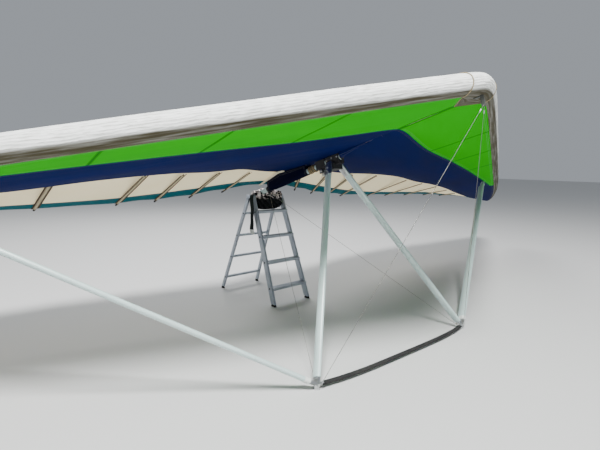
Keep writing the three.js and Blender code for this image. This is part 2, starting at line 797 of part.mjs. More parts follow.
// Hinges: the front rails' plates lie inside the rails, the rear rails' lugs outside, with a pin between.
const front = ladderFrame(frames.front);
const rear = ladderFrame(frames.rear);
const railInner = frames.front.topHalf - frames.front.wide / 2;
const railOuter = frames.rear.topHalf + frames.rear.wide / 2;
const hingeLow = ladderPivotZ - 20;
const hingeHigh = ladderPivotZ + 16;
const onPivot = (span) => new THREE.Vector3(0, span, ladderPivotZ);
for (const side of [-1, 1]) {
  front.parts.push(
    sideBlock(side, [12, railInner - 12.5, hingeLow], [52, railInner + 4, hingeHigh]),
    sideBlock(side, [-16, railInner - 12.5, hingeLow], [52, railInner - 5.5, hingeHigh]),
    bar(circle(6, 12), onPivot(side * (railInner - 9)), onPivot(side * (railOuter + 7.5)), up),
  );
  rear.parts.push(
    sideBlock(side, [-46, railOuter - 4, hingeLow + 4], [-12, railOuter + 15, hingeHigh - 2]),
    sideBlock(side, [-46, railOuter + 9, hingeLow + 4], [16, railOuter + 15, hingeHigh - 2]),
  );
}
piece('ladder_front_frame', join(...front.parts), 'ladderMetal', ladder);
piece('ladder_rear_frame', join(...rear.parts), 'ladderMetal', ladder);

const halves = [['front', front, 1], ['rear', rear, -1]];
for (const [halfName, half] of halves) {
  for (const [name, side] of sides) {
    const base = half.at(footHeight / 2, side * half.spanAt(0));
    const foot = block(
      [base.x - half.deep / 2 - 6, base.y - half.wide / 2 - 4, 0],
      [base.x + half.deep / 2 + 6, base.y + half.wide / 2 + 4, footHeight],
    );
    piece(`ladder_foot_${halfName}_${name}`, foot, 'blackRubber', ladder);
  }
}

// Bundled cloth stuffed between the rails, from the top tread to over the hinges, round the keel's tail.
// Columns: height, middle ahead of the pivot, half depth, half width.
const bundleFloor = stepCount * stepSpacing - frames.front.below + stepThickness / 2 + seatGap;
const bundleTurns = [
  [bundleFloor, 60, 55, 120], [936, 45, 90, 150], [975, 35, 115, 165], [1030, 30, 115, 167],
  [1072, 25, 110, 167], [1080, 25, 108, 168], [1084, 25, 106, 176], [1108, 25, 88, 167], [1128, 25, 50, 112],
];
const full = (value) => Math.sign(value) * Math.abs(value) ** 0.75;
const bundleRings = bundleTurns.map(([height, middle, depth, width]) => {
  return Array.from({ length: 20 }, (_, step) => {
    const angle = (2 * Math.PI * step) / 20;
    return new THREE.Vector3(middle + depth * full(Math.cos(angle)), width * full(Math.sin(angle)), height);
  });
});
const bundle = loft(bundleRings, (ring) => ring.map((p) => new THREE.Vector2(p.x, p.y)));
const hingeRooms = [-1, 1].map((side) => {
  return sideBlock(side, [-21, railInner - 16, hingeLow - 5], [57, railInner + 60, hingeHigh + 4]);
});
ladder.updateMatrix();
const placedRooms = hingeRooms.map((room) => room.applyMatrix4(ladder.matrix));
const endBore = keelHole(keelRadius + 2 + seatGap, keelTail - 8.3, keelTail + 12);
const stuffed = cut(bundle.applyMatrix4(ladder.matrix), keelBore(seatGap), endBore, ...placedRooms);
piece('cloth_bundle', stuffed, 'wovenCloth');

export default glider;
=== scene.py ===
"""Finished look of a strut-braced hang glider, parked nose high on its control bar and a stepladder.

Lengths are in metres: +X to the nose, +Y to port, +Z up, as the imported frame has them.
"""
import json
import logging
from collections.abc import Callable, Iterable, Sequence
from dataclasses import dataclass
from enum import Enum
from math import asin, atan2, copysign, cos, exp, hypot, pi, radians, sin, tan

import bmesh
import bpy
from mathutils import Matrix, Vector, noise


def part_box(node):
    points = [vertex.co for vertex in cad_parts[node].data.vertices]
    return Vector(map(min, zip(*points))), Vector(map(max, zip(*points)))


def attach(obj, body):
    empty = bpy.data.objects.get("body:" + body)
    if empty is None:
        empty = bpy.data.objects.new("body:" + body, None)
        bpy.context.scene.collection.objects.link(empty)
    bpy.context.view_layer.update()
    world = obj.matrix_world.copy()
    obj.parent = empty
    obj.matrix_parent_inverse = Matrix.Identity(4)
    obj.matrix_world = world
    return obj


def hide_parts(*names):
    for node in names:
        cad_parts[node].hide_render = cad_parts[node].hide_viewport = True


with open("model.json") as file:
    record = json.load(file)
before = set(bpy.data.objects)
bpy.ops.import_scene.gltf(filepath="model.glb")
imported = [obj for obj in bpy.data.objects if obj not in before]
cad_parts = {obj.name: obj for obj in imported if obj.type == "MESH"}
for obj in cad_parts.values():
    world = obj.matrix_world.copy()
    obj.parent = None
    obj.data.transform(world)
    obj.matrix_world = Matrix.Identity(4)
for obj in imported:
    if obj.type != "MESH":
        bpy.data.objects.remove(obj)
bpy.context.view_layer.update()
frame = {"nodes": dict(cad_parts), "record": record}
LOG = logging.getLogger("hang_glider")
GLIDER, LADDER_REAR = "glider", "ladder_rear"
FACES = (-1, 1)
UP = Vector((0, 0, 1))

Pair = tuple[float, float]
Rows = tuple[Pair, ...]
Triple = tuple[float, float, float]
Colour = Triple
Place = Callable[[float, float], Vector]
Cut = Callable[[float, float], Pair]
Shape = bmesh.types.BMesh
Socket = bpy.types.NodeSocket


class Side(Enum):
    """The two halves of the wing, with the sign of their span."""

    LEFT = 1
    RIGHT = -1

    @property
    def label(self) -> str:
        """Name of the side as the pieces carry it."""
        return self.name.lower()


# Shader values and finishes.


class Value:
    """A number that varies over a surface. Its operators add Math nodes."""

    def __init__(self, shader: "Shader", socket: Socket) -> None:
        """Wraps one output socket of the material that a builder makes."""
        self.shader, self.socket = shader, socket

    def math(self, operation: str, *others: "Value | float") -> "Value":
        """This value put through a Math node, with what else the operation takes."""
        return self.shader.math(operation, self, *others)

    def __add__(self, other: "Value | float") -> "Value":
        """Sum."""
        return self.math("ADD", other)

    def __mul__(self, other: "Value | float") -> "Value":
        """Product."""
        return self.math("MULTIPLY", other)

    def __sub__(self, other: "Value | float") -> "Value":
        """Difference."""
        return self.math("SUBTRACT", other)

    def __rsub__(self, other: float) -> "Value":
        """Difference, with the number first."""
        return self.shader.math("SUBTRACT", other, self)

    __radd__, __rmul__ = __add__, __mul__

    def clamped(self) -> "Value":
        """The value kept from 0 to 1."""
        return self.math("MINIMUM", 1.0).math("MAXIMUM", 0.0)

    def wave(self, pitch: float) -> "Value":
        """A ripple from 0 to 1 that repeats once each pitch."""
        return (self * (2 * pi / pitch)).math("SINE") * 0.5 + 0.5

    def line(self, at: float, width: float) -> "Value":
        """1 within half a width of a value, else 0."""
        return self.math("COMPARE", at, width / 2)

    def near(self, at: float, width: float) -> "Value":
        """1 at a value, falling to 0 a width away from it."""
        return (1.0 - (self - at).math("ABSOLUTE") * (1 / width)).clamped()

    def step(self, start: float, end: float) -> "Value":
        """Rises from 0 at a start to 1 at an end."""
        return ((self - start) * (1 / (end - start))).clamped()

    def grid(self, pitch: float, width: float) -> "Value":
        """1 on lines of a width that repeat once each pitch, else 0."""
        return self.math("PINGPONG", pitch / 2).math("LESS_THAN", width / 2)


class Shader:
    """Builds one material round a Principled surface."""

    def __init__(self, name: str) -> None:
        """Starts an empty material of that name."""
        self.material = bpy.data.materials.new(name)
        self.material.use_nodes = True
        self.tree = self.material.node_tree
        self.surface = self.tree.nodes["Principled BSDF"]

    def node(self, kind: str, settings: dict | None = None, inputs: dict | None = None) -> bpy.types.Node:
        """Adds any node.

        Args:
            kind: Blender's node type.
            settings: Its own settings, set first.
            inputs: Socket name or number to a value or an output socket.

        Returns:
            The node.
        """
        made = self.tree.nodes.new(kind)
        for key, value in (settings or {}).items():
            setattr(made, key, value)
        for key, value in (inputs or {}).items():
            if isinstance(value, Socket):
                self.tree.links.new(value, made.inputs[key])
            else:
                made.inputs[key].default_value = value
        return made

    def math(self, operation: str, *operands: Value | float) -> Value:
        """One Math node's result, for the values it works on in order."""
        inputs = {i: o.socket if isinstance(o, Value) else o for i, o in enumerate(operands)}
        return Value(self, self.node("ShaderNodeMath", {"operation": operation}, inputs).outputs[0])

    def place(self, scale: Triple = (1, 1, 1), turn: float = 0.0) -> Socket:
        """Object coordinates, stretched along each axis and turned by an angle about the upright."""
        source = self.node("ShaderNodeTexCoord").outputs["Object"]
        inputs = {"Vector": source, "Scale": scale, "Rotation": (0, 0, turn)}
        return self.node("ShaderNodeMapping", {}, inputs).outputs[0]

    def cloth_place(self, scale: Triple = (1, 1, 1)) -> Socket:
        """The piece's own UV map, in metres along and across the cloth, stretched."""
        source = self.node("ShaderNodeUVMap", {"uv_map": "cloth"}).outputs[0]
        return self.node("ShaderNodeMapping", {}, {"Vector": source, "Scale": scale}).outputs[0]

    def axes(self, place: Socket) -> list[Value]:
        """The three numbers of a vector."""
        split = self.node("ShaderNodeSeparateXYZ", {}, {0: place})
        return [Value(self, split.outputs[number]) for number in range(3)]

    def edge(self) -> Value:
        """Distance to the nearest sewn edge, as the piece's points store it."""
        return Value(self, self.node("ShaderNodeAttribute", {"attribute_name": "edge"}).outputs["Fac"])

    def noise(self, place: Socket, scale: float, detail: float = 3, distortion: float = 0) -> Value:
        """Soft noise from 0 to 1."""
        inputs = {"Vector": place, "Scale": scale, "Detail": detail, "Distortion": distortion}
        return Value(self, self.node("ShaderNodeTexNoise", {}, inputs).outputs[0])

    def solid_noise(self, *settings: float, stretch: Triple = (1, 1, 1)) -> Value:
        """Noise through the piece's solid, of a scale, detail and distortion."""
        return self.noise(self.place(stretch), *settings)

    def cloth_noise(self, *settings: float, stretch: Triple = (1, 1, 1)) -> Value:
        """Noise over the piece's cloth, of a scale, detail and distortion."""
        return self.noise(self.cloth_place(stretch), *settings)

    def coats(self, base: Colour, *coats: tuple[Value, Colour]) -> Socket:
        """Colour under coats of others.

        Args:
            base: The lowest colour.
            coats: How much of each coat covers what is under it, and its colour, lowest first.

        Returns:
            The colour on top.
        """
        under = (*base, 1.0)
        for cover, colour in coats:
            inputs = {0: cover.clamped().socket, 6: under, 7: (*colour, 1.0)}
            under = self.node("ShaderNodeMix", {"data_type": "RGBA"}, inputs).outputs[2]
        return under

    def bump(self, height: Value, depth: float, strength: float) -> None:
        """Raises the surface's detail by a height, full height depth metres."""
        made = self.node("ShaderNodeBump", {}, {"Height": height.socket, "Distance": depth, "Strength": strength})
        self.tree.links.new(made.outputs[0], self.surface.inputs["Normal"])

    def set(self, **values: object) -> None:
        """Sets or links sockets of the surface; an underscore in a name is a space."""
        for key, value in values.items():
            socket = self.surface.inputs[key.replace("_", " ")]
            if isinstance(value, Value):
                value = value.socket
            if isinstance(value, Socket):
                self.tree.links.new(value, socket)
            else:
                socket.default_value = (*value, 1.0) if isinstance(value, tuple) else value


@dataclass(frozen=True)
class Finish:
    """What a surface is made of. Each kind paints it in its own way."""

    colour: Colour

    def paint(self, shader: Shader) -> None:
        """Lays one plain colour."""
        shader.set(Base_Color=self.colour, Roughness=0.85)

    def material(self, name: str) -> bpy.types.Material:
        """Builds the material under a name."""
        shader = Shader(name)
        self.paint(shader)
        return shader.material


@dataclass(frozen=True)
class SailclothFinish(Finish):
    """Stretched sailcloth: a fine ripstop grid, soft creases, and stitched hems."""

    shade: Colour
    painted_backlight: float = 0.0
    roughness: float = 0.8
    crease: float = 0.005
    stitch: Colour = (0.30, 0.30, 0.27)
    # Spans of dark lines painted as shadows of the ribs and, at 0, of the middle fold.
    ribs: tuple[float, ...] = ()
    ripstop: Pair = (0.012, 0.0016)
    hem: float = 0.032
    seams: Pair = (0.014, 0.026)
    thread: float = 0.003
    stitch_pitch: float = 0.009
    shadow_line_widths: Pair = (0.03, 0.014)

    def paint(self, shader: Shader) -> None:
        """Mottles the cloth, then adds the grid, hems, stitches, and painted shadow lines over the ribs and along
        the middle fold.
        """
        along, across = shader.axes(shader.cloth_place())[:2]
        mottle = shader.cloth_noise(1.4, 5, stretch=(0.8, 2.0, 1))
        fine = shader.cloth_noise(60, 2)
        ripstop = along.grid(*self.ripstop).math("MAXIMUM", across.grid(*self.ripstop))
        edge = shader.edge()
        outer, inner = (edge.line(seam, self.thread) for seam in self.seams)
        stitches = outer.math("MAXIMUM", inner)
        dashes = stitches * (along + across).wave(self.stitch_pitch).math("GREATER_THAN", 0.3)
        folded = edge.math("LESS_THAN", self.hem)
        shadow = tuple(0.25 * part for part in self.shade)
        ribs = [(along.near(rib, self.shadow_line_widths[bool(rib)]) * 0.9, shadow) for rib in self.ribs]
        base = shader.coats(
            self.shade, (mottle * 0.9, self.colour), (ripstop * 0.12, self.shade), (folded * 0.18, self.shade),
            (dashes * 0.3, self.stitch), *ribs)
        creases = shader.cloth_noise(2.2, 4, 0.6, stretch=(1.2, 7.0, 1))
        height = creases * 0.8 + fine * 0.03 + ripstop * 0.02 + folded * 0.08 - stitches * 0.05
        shader.bump(height, self.crease, 0.6)
        shader.set(Base_Color=base, Roughness=mottle * 0.16 + self.roughness - 0.08, Specular_IOR_Level=0.05)
        # The emission is painted light: it stands in for sunlight shining through the cloth.
        if self.painted_backlight:
            shader.set(Emission_Color=base, Emission_Strength=self.painted_backlight)


@dataclass(frozen=True)
class RibbedClothFinish(Finish):
    """White cloth of the leading edge: uneven ridges along the span, painted shade in their grooves, and streaked
    painted shade below the edge's front line, which light from above does not reach.
    """

    groove_shade: Colour
    painted_shade: Colour
    stitch: Colour = (0.45, 0.43, 0.36)
    pitch: float = 0.017
    depth: float = 0.005
    front_line: float = 0.068
    shade_rise: float = 0.034
    shade_blur: float = 0.009
    rise_spans: Pair = (0.2, 3.4)

    def paint(self, shader: Shader) -> None:
        """Ridges and puckers the cloth, paints shade into its grooves and puckers, and paints shade over its
        lower half.
        """
        along, across = shader.axes(shader.cloth_place())[:2]
        sway = shader.cloth_noise(2.0, 3, stretch=(1.1, 2.5, 1))
        pucker = shader.cloth_noise(2.4, 4, 0.8, stretch=(5.0, 30.0, 1))
        ridge = (across + sway * 0.05).wave(self.pitch)
        valleys = (1.0 - ridge).math("POWER", 4.0) * pucker.step(0.4, 0.62)
        grime = shader.cloth_noise(1.6, 5, stretch=(0.7, 3.0, 1))
        level = across + sway * 0.016 - along.step(*self.rise_spans) * self.shade_rise
        low = 1.0 - level.step(self.front_line - self.shade_blur, self.front_line + self.shade_blur)
        streaks = shader.cloth_noise(2.0, 3, stretch=(1.2, 26.0, 1))
        stitches = shader.edge().line(0.012, 0.0035) * along.wave(0.012)
        # The groove colour over the puckers and the ridges' valleys, and the dark colour below the front line,
        # are painted shade.
        base = shader.coats(
            self.colour, (pucker * 1.2 - 0.5, self.groove_shade), (valleys * 0.75, self.groove_shade),
            (low * (streaks * 0.8 + 0.56), self.painted_shade), (stitches * 0.5, self.stitch))
        shader.bump(ridge * pucker * 0.6 + pucker * 0.8 + along.wave(0.0035) * 0.03, self.depth, 0.8)
        shader.set(Base_Color=base, Roughness=grime * 0.2 + 0.6, Specular_IOR_Level=0.12)


@dataclass(frozen=True)
class TubeFinish(Finish):
    """Pale powder coat with a faint orange peel, scuffs and dust."""

    worn: Colour

    def paint(self, shader: Shader) -> None:
        """Dusts and scuffs the coat."""
        peel = shader.solid_noise(900, 2)
        dust = shader.solid_noise(5, 5, stretch=(1, 1, 0.5))
        marks = shader.solid_noise(14, 6, 1.2, stretch=(4, 4, 0.6)).math("GREATER_THAN", 0.68)
        base = shader.coats(self.colour, (dust * 0.5 - 0.05, self.worn), (marks * 0.35, self.worn))
        shader.bump(peel * 0.4 - marks * 0.3, 0.0004, 0.5)
        shader.set(Base_Color=base, Roughness=dust * 0.2 + 0.24 + marks * 0.2)
        shader.set(Metallic=0.0, Coat_Weight=0.3, Coat_Roughness=0.18)


@dataclass(frozen=True)
class MetalFinish(Finish):
    """Drawn or machined metal: fine lines along one axis, dulled in patches."""

    dull: Colour
    roughness: float
    metallic: float = 1.0
    lines: Triple = (60.0, 60.0, 4.0)

    def paint(self, shader: Shader) -> None:
        """Draws the lines, then dulls and pits the metal."""
        drawn = shader.solid_noise(6, 3, stretch=self.lines)
        patch = shader.solid_noise(11, 6, 0.5)
        pits = shader.solid_noise(160, 2).math("GREATER_THAN", 0.66)
        base = shader.coats(self.colour, (patch * 0.9 - 0.1, self.dull), (pits * 0.35, self.dull))
        shader.bump(drawn * 0.7 - pits * 0.3, 0.0003, 0.6)
        shader.set(Base_Color=base, Roughness=patch * 0.22 + drawn * 0.08 + (self.roughness - 0.12))
        shader.set(Metallic=self.metallic)


@dataclass(frozen=True)
class MouldedFinish(Finish):
    """Moulded plastic or rubber: a fine grain with rubbed, dusty patches."""

    dusty: Colour
    roughness: float
    grain: float = 420.0
    depth: float = 0.0005

    def paint(self, shader: Shader) -> None:
        """Grains the surface and dusts it."""
        grain = shader.solid_noise(self.grain, 3)
        dust = shader.solid_noise(16, 5, 0.8)
        base = shader.coats(self.colour, (dust * 1.3 - 0.45, self.dusty))
        shader.bump(grain, self.depth, 0.7)
        shader.set(Base_Color=base, Roughness=dust * 0.18 + grain * 0.08 + (self.roughness - 0.1))
        shader.set(Specular_IOR_Level=0.4)


@dataclass(frozen=True)
class WebbingFinish(Finish):
    """Woven strap: a close herringbone, its edges bound and a stripe along the middle."""

    thread: Colour
    stripe: Colour
    pitch: float = 0.004
    stripe_width: float = 0.005

    def paint(self, shader: Shader) -> None:
        """Weaves the strap, with its stripe, fuzz and wear."""
        along, across = shader.axes(shader.cloth_place())[:2]
        weave = (along + across.math("PINGPONG", self.pitch * 1.5) * 1.2).wave(self.pitch)
        fuzz = shader.cloth_noise(300, 3)
        wear = shader.cloth_noise(22, 4)
        base = shader.coats(
            self.thread, (weave * 0.7 + fuzz * 0.2, self.colour),
            (across.near(0.0, self.stripe_width) * 1.6, self.stripe), (wear * 0.5 - 0.2, self.thread))
        shader.bump(weave + fuzz * 0.4, 0.0009, 0.8)
        shader.set(Base_Color=base, Roughness=wear * 0.15 + 0.76, Specular_IOR_Level=0.1)


@dataclass(frozen=True)
class StrandFinish(Finish):
    """Twisted steel strand."""

    dark: Colour
    lay: float = 0.012

    def paint(self, shader: Shader) -> None:
        """Twists the strands and dirties them."""
        along, across = shader.axes(shader.cloth_place())[:2]
        strands = (along + across * 1.1).wave(self.lay / 4)
        dirt = shader.cloth_noise(9, 4)
        base = shader.coats(self.colour, (1.0 - strands, self.dark), (dirt * 0.5 - 0.1, self.dark))
        shader.bump(strands, 0.0005, 0.9)
        shader.set(Base_Color=base, Roughness=dirt * 0.2 + 0.28, Metallic=0.9)


@dataclass(frozen=True)
class BundleFinish(Finish):
    """Crumpled dark cloth with an uneven pale check on its upper part."""

    mid: Colour
    pale: Colour
    pale_above: Pair = (1.085, 1.105)

    def paint(self, shader: Shader) -> None:
        """Weaves broad dark bands, and thin and broad pale checks above a height."""
        place = shader.place((1, 1, 1), 0.5)
        shift = shader.noise(place, 9, 3)
        x, y, z = (axis + shift * 0.05 for axis in shader.axes(place))
        broad = (y + z * 0.8).grid(0.052, 0.024)
        thin = (x - z * 0.7).grid(0.034, 0.008)
        weave = (y + x).wave(0.0024)
        fuzz = shader.noise(place, 350, 3)
        patch = shader.noise(place, 14, 4, 1.0)
        patterned = (z + shift * 0.06).step(*self.pale_above)
        check = (x + y * 0.4).grid(0.060, 0.034) * (y - x * 0.3).grid(0.046, 0.026)
        base = shader.coats(
            self.colour, (broad, self.mid), (thin * patterned * 0.7, self.pale), (check * patterned, self.pale),
            (patch.math("LESS_THAN", 0.42) * 0.85, self.colour))
        shader.bump(weave * 0.4 + fuzz * 0.5 + patch * 1.2, 0.0022, 0.8)
        shader.set(Base_Color=base, Roughness=fuzz * 0.1 + 0.84, Specular_IOR_Level=0.08)


@dataclass(frozen=True)
class TapeFinish(Finish):
    """Dark woven tape with a pale end."""

    pale: Colour
    pale_from: float

    def paint(self, shader: Shader) -> None:
        """Weaves the tape, pales its end and wears it."""
        along, across = shader.axes(shader.cloth_place())[:2]
        wear = shader.cloth_noise(30, 4)
        ending = along.step(self.pale_from, self.pale_from + 0.004)
        base = shader.coats(self.colour, (ending, self.pale), (wear * 0.5 - 0.15, self.colour))
        shader.bump((along + across).wave(0.003) + wear, 0.0008, 0.8)
        shader.set(Base_Color=base, Roughness=wear * 0.1 + 0.8, Specular_IOR_Level=0.1)


class Finishes:
    """Every finish of the object, made once and found by its name, which for most is the record's slot."""

    table = {
        # The leading edge's second and third colours are painted shade: in the ridges' grooves, and over the
        # edge's lower half.
        "white_cloth": RibbedClothFinish((0.94, 0.96, 0.93), (0.34, 0.34, 0.30), (0.064, 0.056, 0.032)),
        # The sailcloths' emission is painted light shining through the cloth.
        "sail_cloth": SailclothFinish((0.90, 0.80, 0.56), (0.70, 0.60, 0.38), painted_backlight=0.50),
        # The green cloth's dark lines are painted shadows of the ribs and of the middle fold.
        "green_cloth": SailclothFinish(
            (0.006, 0.40, 0.0), (0.003, 0.26, 0.0), painted_backlight=0.22, ribs=(0.0, 0.785, 1.38, 1.966)),
        "blue_cloth": SailclothFinish((0.0, 0.008, 0.10), (0.0, 0.003, 0.035), painted_backlight=0.05),
        "teal_cloth": SailclothFinish((0.004, 0.12, 0.15), (0.002, 0.08, 0.10), painted_backlight=0.10),
        "navy_cloth": SailclothFinish((0.0, 0.002, 0.022), (0.0, 0.0, 0.006), crease=0.009),
        "batten_pocket": WebbingFinish(
            (0.085, 0.060, 0.035), (0.050, 0.035, 0.020), (0.55, 0.47, 0.32), stripe_width=0.016),
        "hanging_tape": TapeFinish((0.010, 0.014, 0.013), (0.62, 0.64, 0.62), 0.43),
        "painted_tube": TubeFinish((0.58, 0.72, 0.70), (0.38, 0.47, 0.46)),
        "pale_rod": MouldedFinish((0.88, 0.80, 0.62), (0.62, 0.54, 0.38), 0.6),
        "bright_fitting": MetalFinish((0.66, 0.68, 0.68), (0.34, 0.35, 0.35), 0.34),
        "white_plastic": MouldedFinish((0.80, 0.83, 0.81), (0.56, 0.56, 0.50), 0.42),
        "black_fitting": MetalFinish((0.007, 0.007, 0.009), (0.022, 0.022, 0.024), 0.55, metallic=0.1),
        "black_grip": MouldedFinish((0.012, 0.012, 0.013), (0.05, 0.05, 0.045), 0.8, 260, 0.001),
        "steel_wire": StrandFinish((0.36, 0.35, 0.32), (0.11, 0.11, 0.10)),
        "tan_webbing": WebbingFinish((0.19, 0.145, 0.078), (0.09, 0.068, 0.036), (0.34, 0.28, 0.17)),
        "ladder_metal": MetalFinish(
            (0.46, 0.50, 0.55), (0.24, 0.27, 0.31), 0.5, metallic=0.75, lines=(50, 50, 2.5)),
        "black_rubber": MouldedFinish((0.014, 0.014, 0.015), (0.07, 0.065, 0.055), 0.88),
        "woven_cloth": BundleFinish((0.005, 0.006, 0.007), (0.016, 0.017, 0.019), (0.74, 0.66, 0.64)),
        # Darkened metal that paints the nose plate's shade.
        "shade_darkened_fitting": MetalFinish((0.09, 0.10, 0.09), (0.05, 0.05, 0.045), 0.6, metallic=0.4),
        "pale_floor": Finish((0.62, 0.62, 0.61)),
    }
    # The nose plate gets the darkened metal: painted shade from the nose cap over it.
    own = {"nose_plate": "shade_darkened_fitting"}
    made: dict[str, bpy.types.Material] = {}

    @classmethod
    def get(cls, name: str) -> bpy.types.Material:
        """The finish's material, built on first use."""
        if name not in cls.made:
            cls.made[name] = cls.table[name].material(name)
        return cls.made[name]

    @classmethod
    def dress_frame(cls) -> None:
        """Gives every node of the frame its own finish or its slot's."""
        slots = {row["node"]: row["material_slot"] for row in frame["record"]["subparts"]}
        for name, node in frame["nodes"].items():
            node.data.materials.clear()
            node.data.materials.append(cls.get(cls.own.get(name, slots[name])))


# Making pieces.


class Maker:
    """Makes shapes, and turns them into finished pieces."""

    @staticmethod
    def piece(
        name: str, mesh: Shape, slot: str, body: str = GLIDER, replaces: Sequence[str] = (),
        smooth: float = 40.0, finish: str | None = None,
    ) -> bpy.types.Object:
        """Makes a finished object, at the origin, riding on a body.

        Args:
            name: The piece's name.
            mesh: Its shape, which is freed.
            slot: The record's material slot.
            body: The CAD body it moves with.
            replaces: The CAD nodes it stands for.
            smooth: Sharpest angle in degrees that is shaded smooth.
            finish: Its finish, where that isn't the slot's own.

        Returns:
            The object.
        """
        data = bpy.data.meshes.new(name)
        mesh.to_mesh(data)
        mesh.free()
        data.shade_smooth()
        data.set_sharp_from_angle(angle=radians(smooth))
        data.materials.append(Finishes.get(finish or slot))
        made = bpy.data.objects.new(name, data)
        bpy.context.scene.collection.objects.link(made)
        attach(made, body)
        if replaces:
            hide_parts(*replaces)
        LOG.info("%s: %d faces", name, len(data.polygons))
        return made

    @staticmethod
    def sheet(
        columns: int, rows: int, place: Place, cloth: Cut, edge: Callable[[float, float], float] | None = None,
        weld: float = 0.0, capped: bool = False,
    ) -> Shape:
        """Lays a grid on a surface. Each function takes a share along it and a share across it.

        Args:
            columns: Faces along.
            rows: Faces across.
            place: The point.
            cloth: Metres along and across the cloth.
            edge: Distance to the nearest sewn edge.
            weld: Distance within which points that meet are joined.
            capped: Whether the ends are closed.

        Returns:
            The sheet, with its cloth UV map and edge distances.
        """
        mesh = bmesh.new()
        bmesh.ops.create_grid(mesh, x_segments=columns, y_segments=rows, size=0.5)
        stored = mesh.verts.layers.float.new("edge")
        uv = mesh.loops.layers.uv.new("cloth")
        shares = {vert: (vert.co.x + 0.5, vert.co.y + 0.5) for vert in mesh.verts}
        for face in mesh.faces:
            for loop in face.loops:
                loop[uv].uv = cloth(*shares[loop.vert])
        for vert, (u, v) in shares.items():
            vert[stored] = edge(u, v) if edge else 1.0
            vert.co = place(u, v)
        if weld:
            bmesh.ops.remove_doubles(mesh, verts=mesh.verts, dist=weld)
        if capped:
            bmesh.ops.holes_fill(mesh, edges=[rim for rim in mesh.edges if rim.is_boundary])
        bmesh.ops.recalc_face_normals(mesh, faces=mesh.faces)
        return mesh

    @classmethod
    def tube(cls, points: Sequence[Vector], radius: float, sides: int = 12) -> Shape:
        """Sweeps a circle of a number of sides along points, with its own UV map and closed ends."""
        lengths = [0.0]
        for first, second in zip(points, points[1:]):
            lengths.append(lengths[-1] + (second - first).length)
        count = len(points) - 1
        frames = []
        normal = (points[1] - points[0]).orthogonal().normalized()
        for row in range(count + 1):
            tangent = (points[min(row + 1, count)] - points[max(row - 1, 0)]).normalized()
            normal = (normal - tangent * normal.dot(tangent)).normalized()
            frames.append((points[row], normal, tangent.cross(normal)))

        def place(u: float, v: float) -> Vector:
            centre, first, second = frames[round(u * count)]
            angle = 2 * pi * v
            return centre + first * (radius * cos(angle)) + second * (radius * sin(angle))

        def cloth(u: float, v: float) -> Pair:
            return lengths[round(u * count)], 2 * pi * radius * (v - 0.5)

        return cls.sheet(count, sides, place, cloth, weld=radius * 0.02, capped=True)

    @staticmethod
    def merge(parts: Iterable[Shape]) -> Shape:
        """Puts several closed shapes into one mesh and frees them."""
        whole = bmesh.new()
        whole.loops.layers.uv.new("cloth")
        whole.verts.layers.float.new("edge")
        for part in parts:
            data = bpy.data.meshes.new("part")
            part.to_mesh(data)
            part.free()
            whole.from_mesh(data)
            bpy.data.meshes.remove(data)
        return whole

    @classmethod
    def parts(cls, name: str, shapes: Iterable[Shape], slot: str = "bright_fitting", *more: object,
              **named: object) -> bpy.types.Object:
        """Makes one piece of several closed shapes, with what else a piece takes."""
        return cls.piece(name, cls.merge(shapes), slot, *more, **named)

    @staticmethod
    def aim(direction: Vector, at: Vector, turn: float = 0.0) -> Matrix:
        """Matrix that lays a shape's own z along a direction at a point."""
        turned = direction.to_track_quat("Z", "Y").to_matrix().to_4x4()
        return Matrix.Translation(at) @ turned @ Matrix.Rotation(turn, 4, "Z")

    @staticmethod
    def _finish_edges(mesh: Shape, edges: list, width: float, segments: int, matrix: Matrix) -> Shape:
        """Rounds the edges of a shape, puts it in its place and returns it."""
        bmesh.ops.bevel(
            mesh, geom=edges, offset=width, segments=segments, profile=0.5, affect="EDGES", material=-1)
        bmesh.ops.transform(mesh, matrix=matrix, verts=mesh.verts)
        return mesh

    @classmethod
    def disc(cls, radius: float, height: float, sides: int, matrix: Matrix, bevel: float) -> Shape:
        """Short closed cylinder or prism.

        Args:
            radius: Its radius to the corners.
            height: Its height along its own z.
            sides: Faces round it.
            matrix: Where its middle goes.
            bevel: Width of its rims' bevel.

        Returns:
            The shape.
        """
        mesh = bmesh.new()
        bmesh.ops.create_cone(
            mesh, cap_ends=True, segments=sides, radius1=radius, radius2=radius, depth=height)
        rims = [edge for edge in mesh.edges if abs(edge.verts[0].co.z - edge.verts[1].co.z) < 1e-7]
        return cls._finish_edges(mesh, rims, bevel, 2, matrix)

    @classmethod
    def slab(cls, size: Triple, matrix: Matrix, bevel: float) -> Shape:
        """Box with all its edges rounded, its middle put where a matrix says."""
        mesh = bmesh.new()
        bmesh.ops.create_cube(mesh, size=1.0, matrix=Matrix.Diagonal((*size, 1.0)))
        return cls._finish_edges(mesh, mesh.edges[:], bevel, 3, matrix)

    @classmethod
    def bolt(cls, at: Vector, direction: Vector, size: float, length: float) -> list[Shape]:
        """Washer, hexagon head and the end of the thread.

        Args:
            at: Point on the face that the bolt clamps.
            direction: Away from that face.
            size: Radius of the head's corners.
            length: How far the thread stands out past the nut.

        Returns:
            The closed shapes.
        """
        axis = direction.normalized()
        middle = at + axis * (size * 0.9 + length / 2)
        return [
            cls.disc(size * 1.35, size * 0.22, 20, cls.aim(axis, at + axis * size * 0.11), size * 0.05),
            cls.disc(size, size * 0.7, 6, cls.aim(axis, at + axis * size * 0.57, 0.3), size * 0.08),
            cls.disc(size * 0.5, length, 14, cls.aim(axis, middle), size * 0.08),
        ]


def smooth_step(value: float) -> float:
    """Eases from 0 to 1 as the value goes from 0 to 1."""
    share = min(1.0, max(0.0, value))
    return share * share * (3 - 2 * share)


def area_of(mesh: Shape) -> float:
    """Area of all the faces."""
    return sum(face.calc_area() for face in mesh.faces)


# The wing's shape.


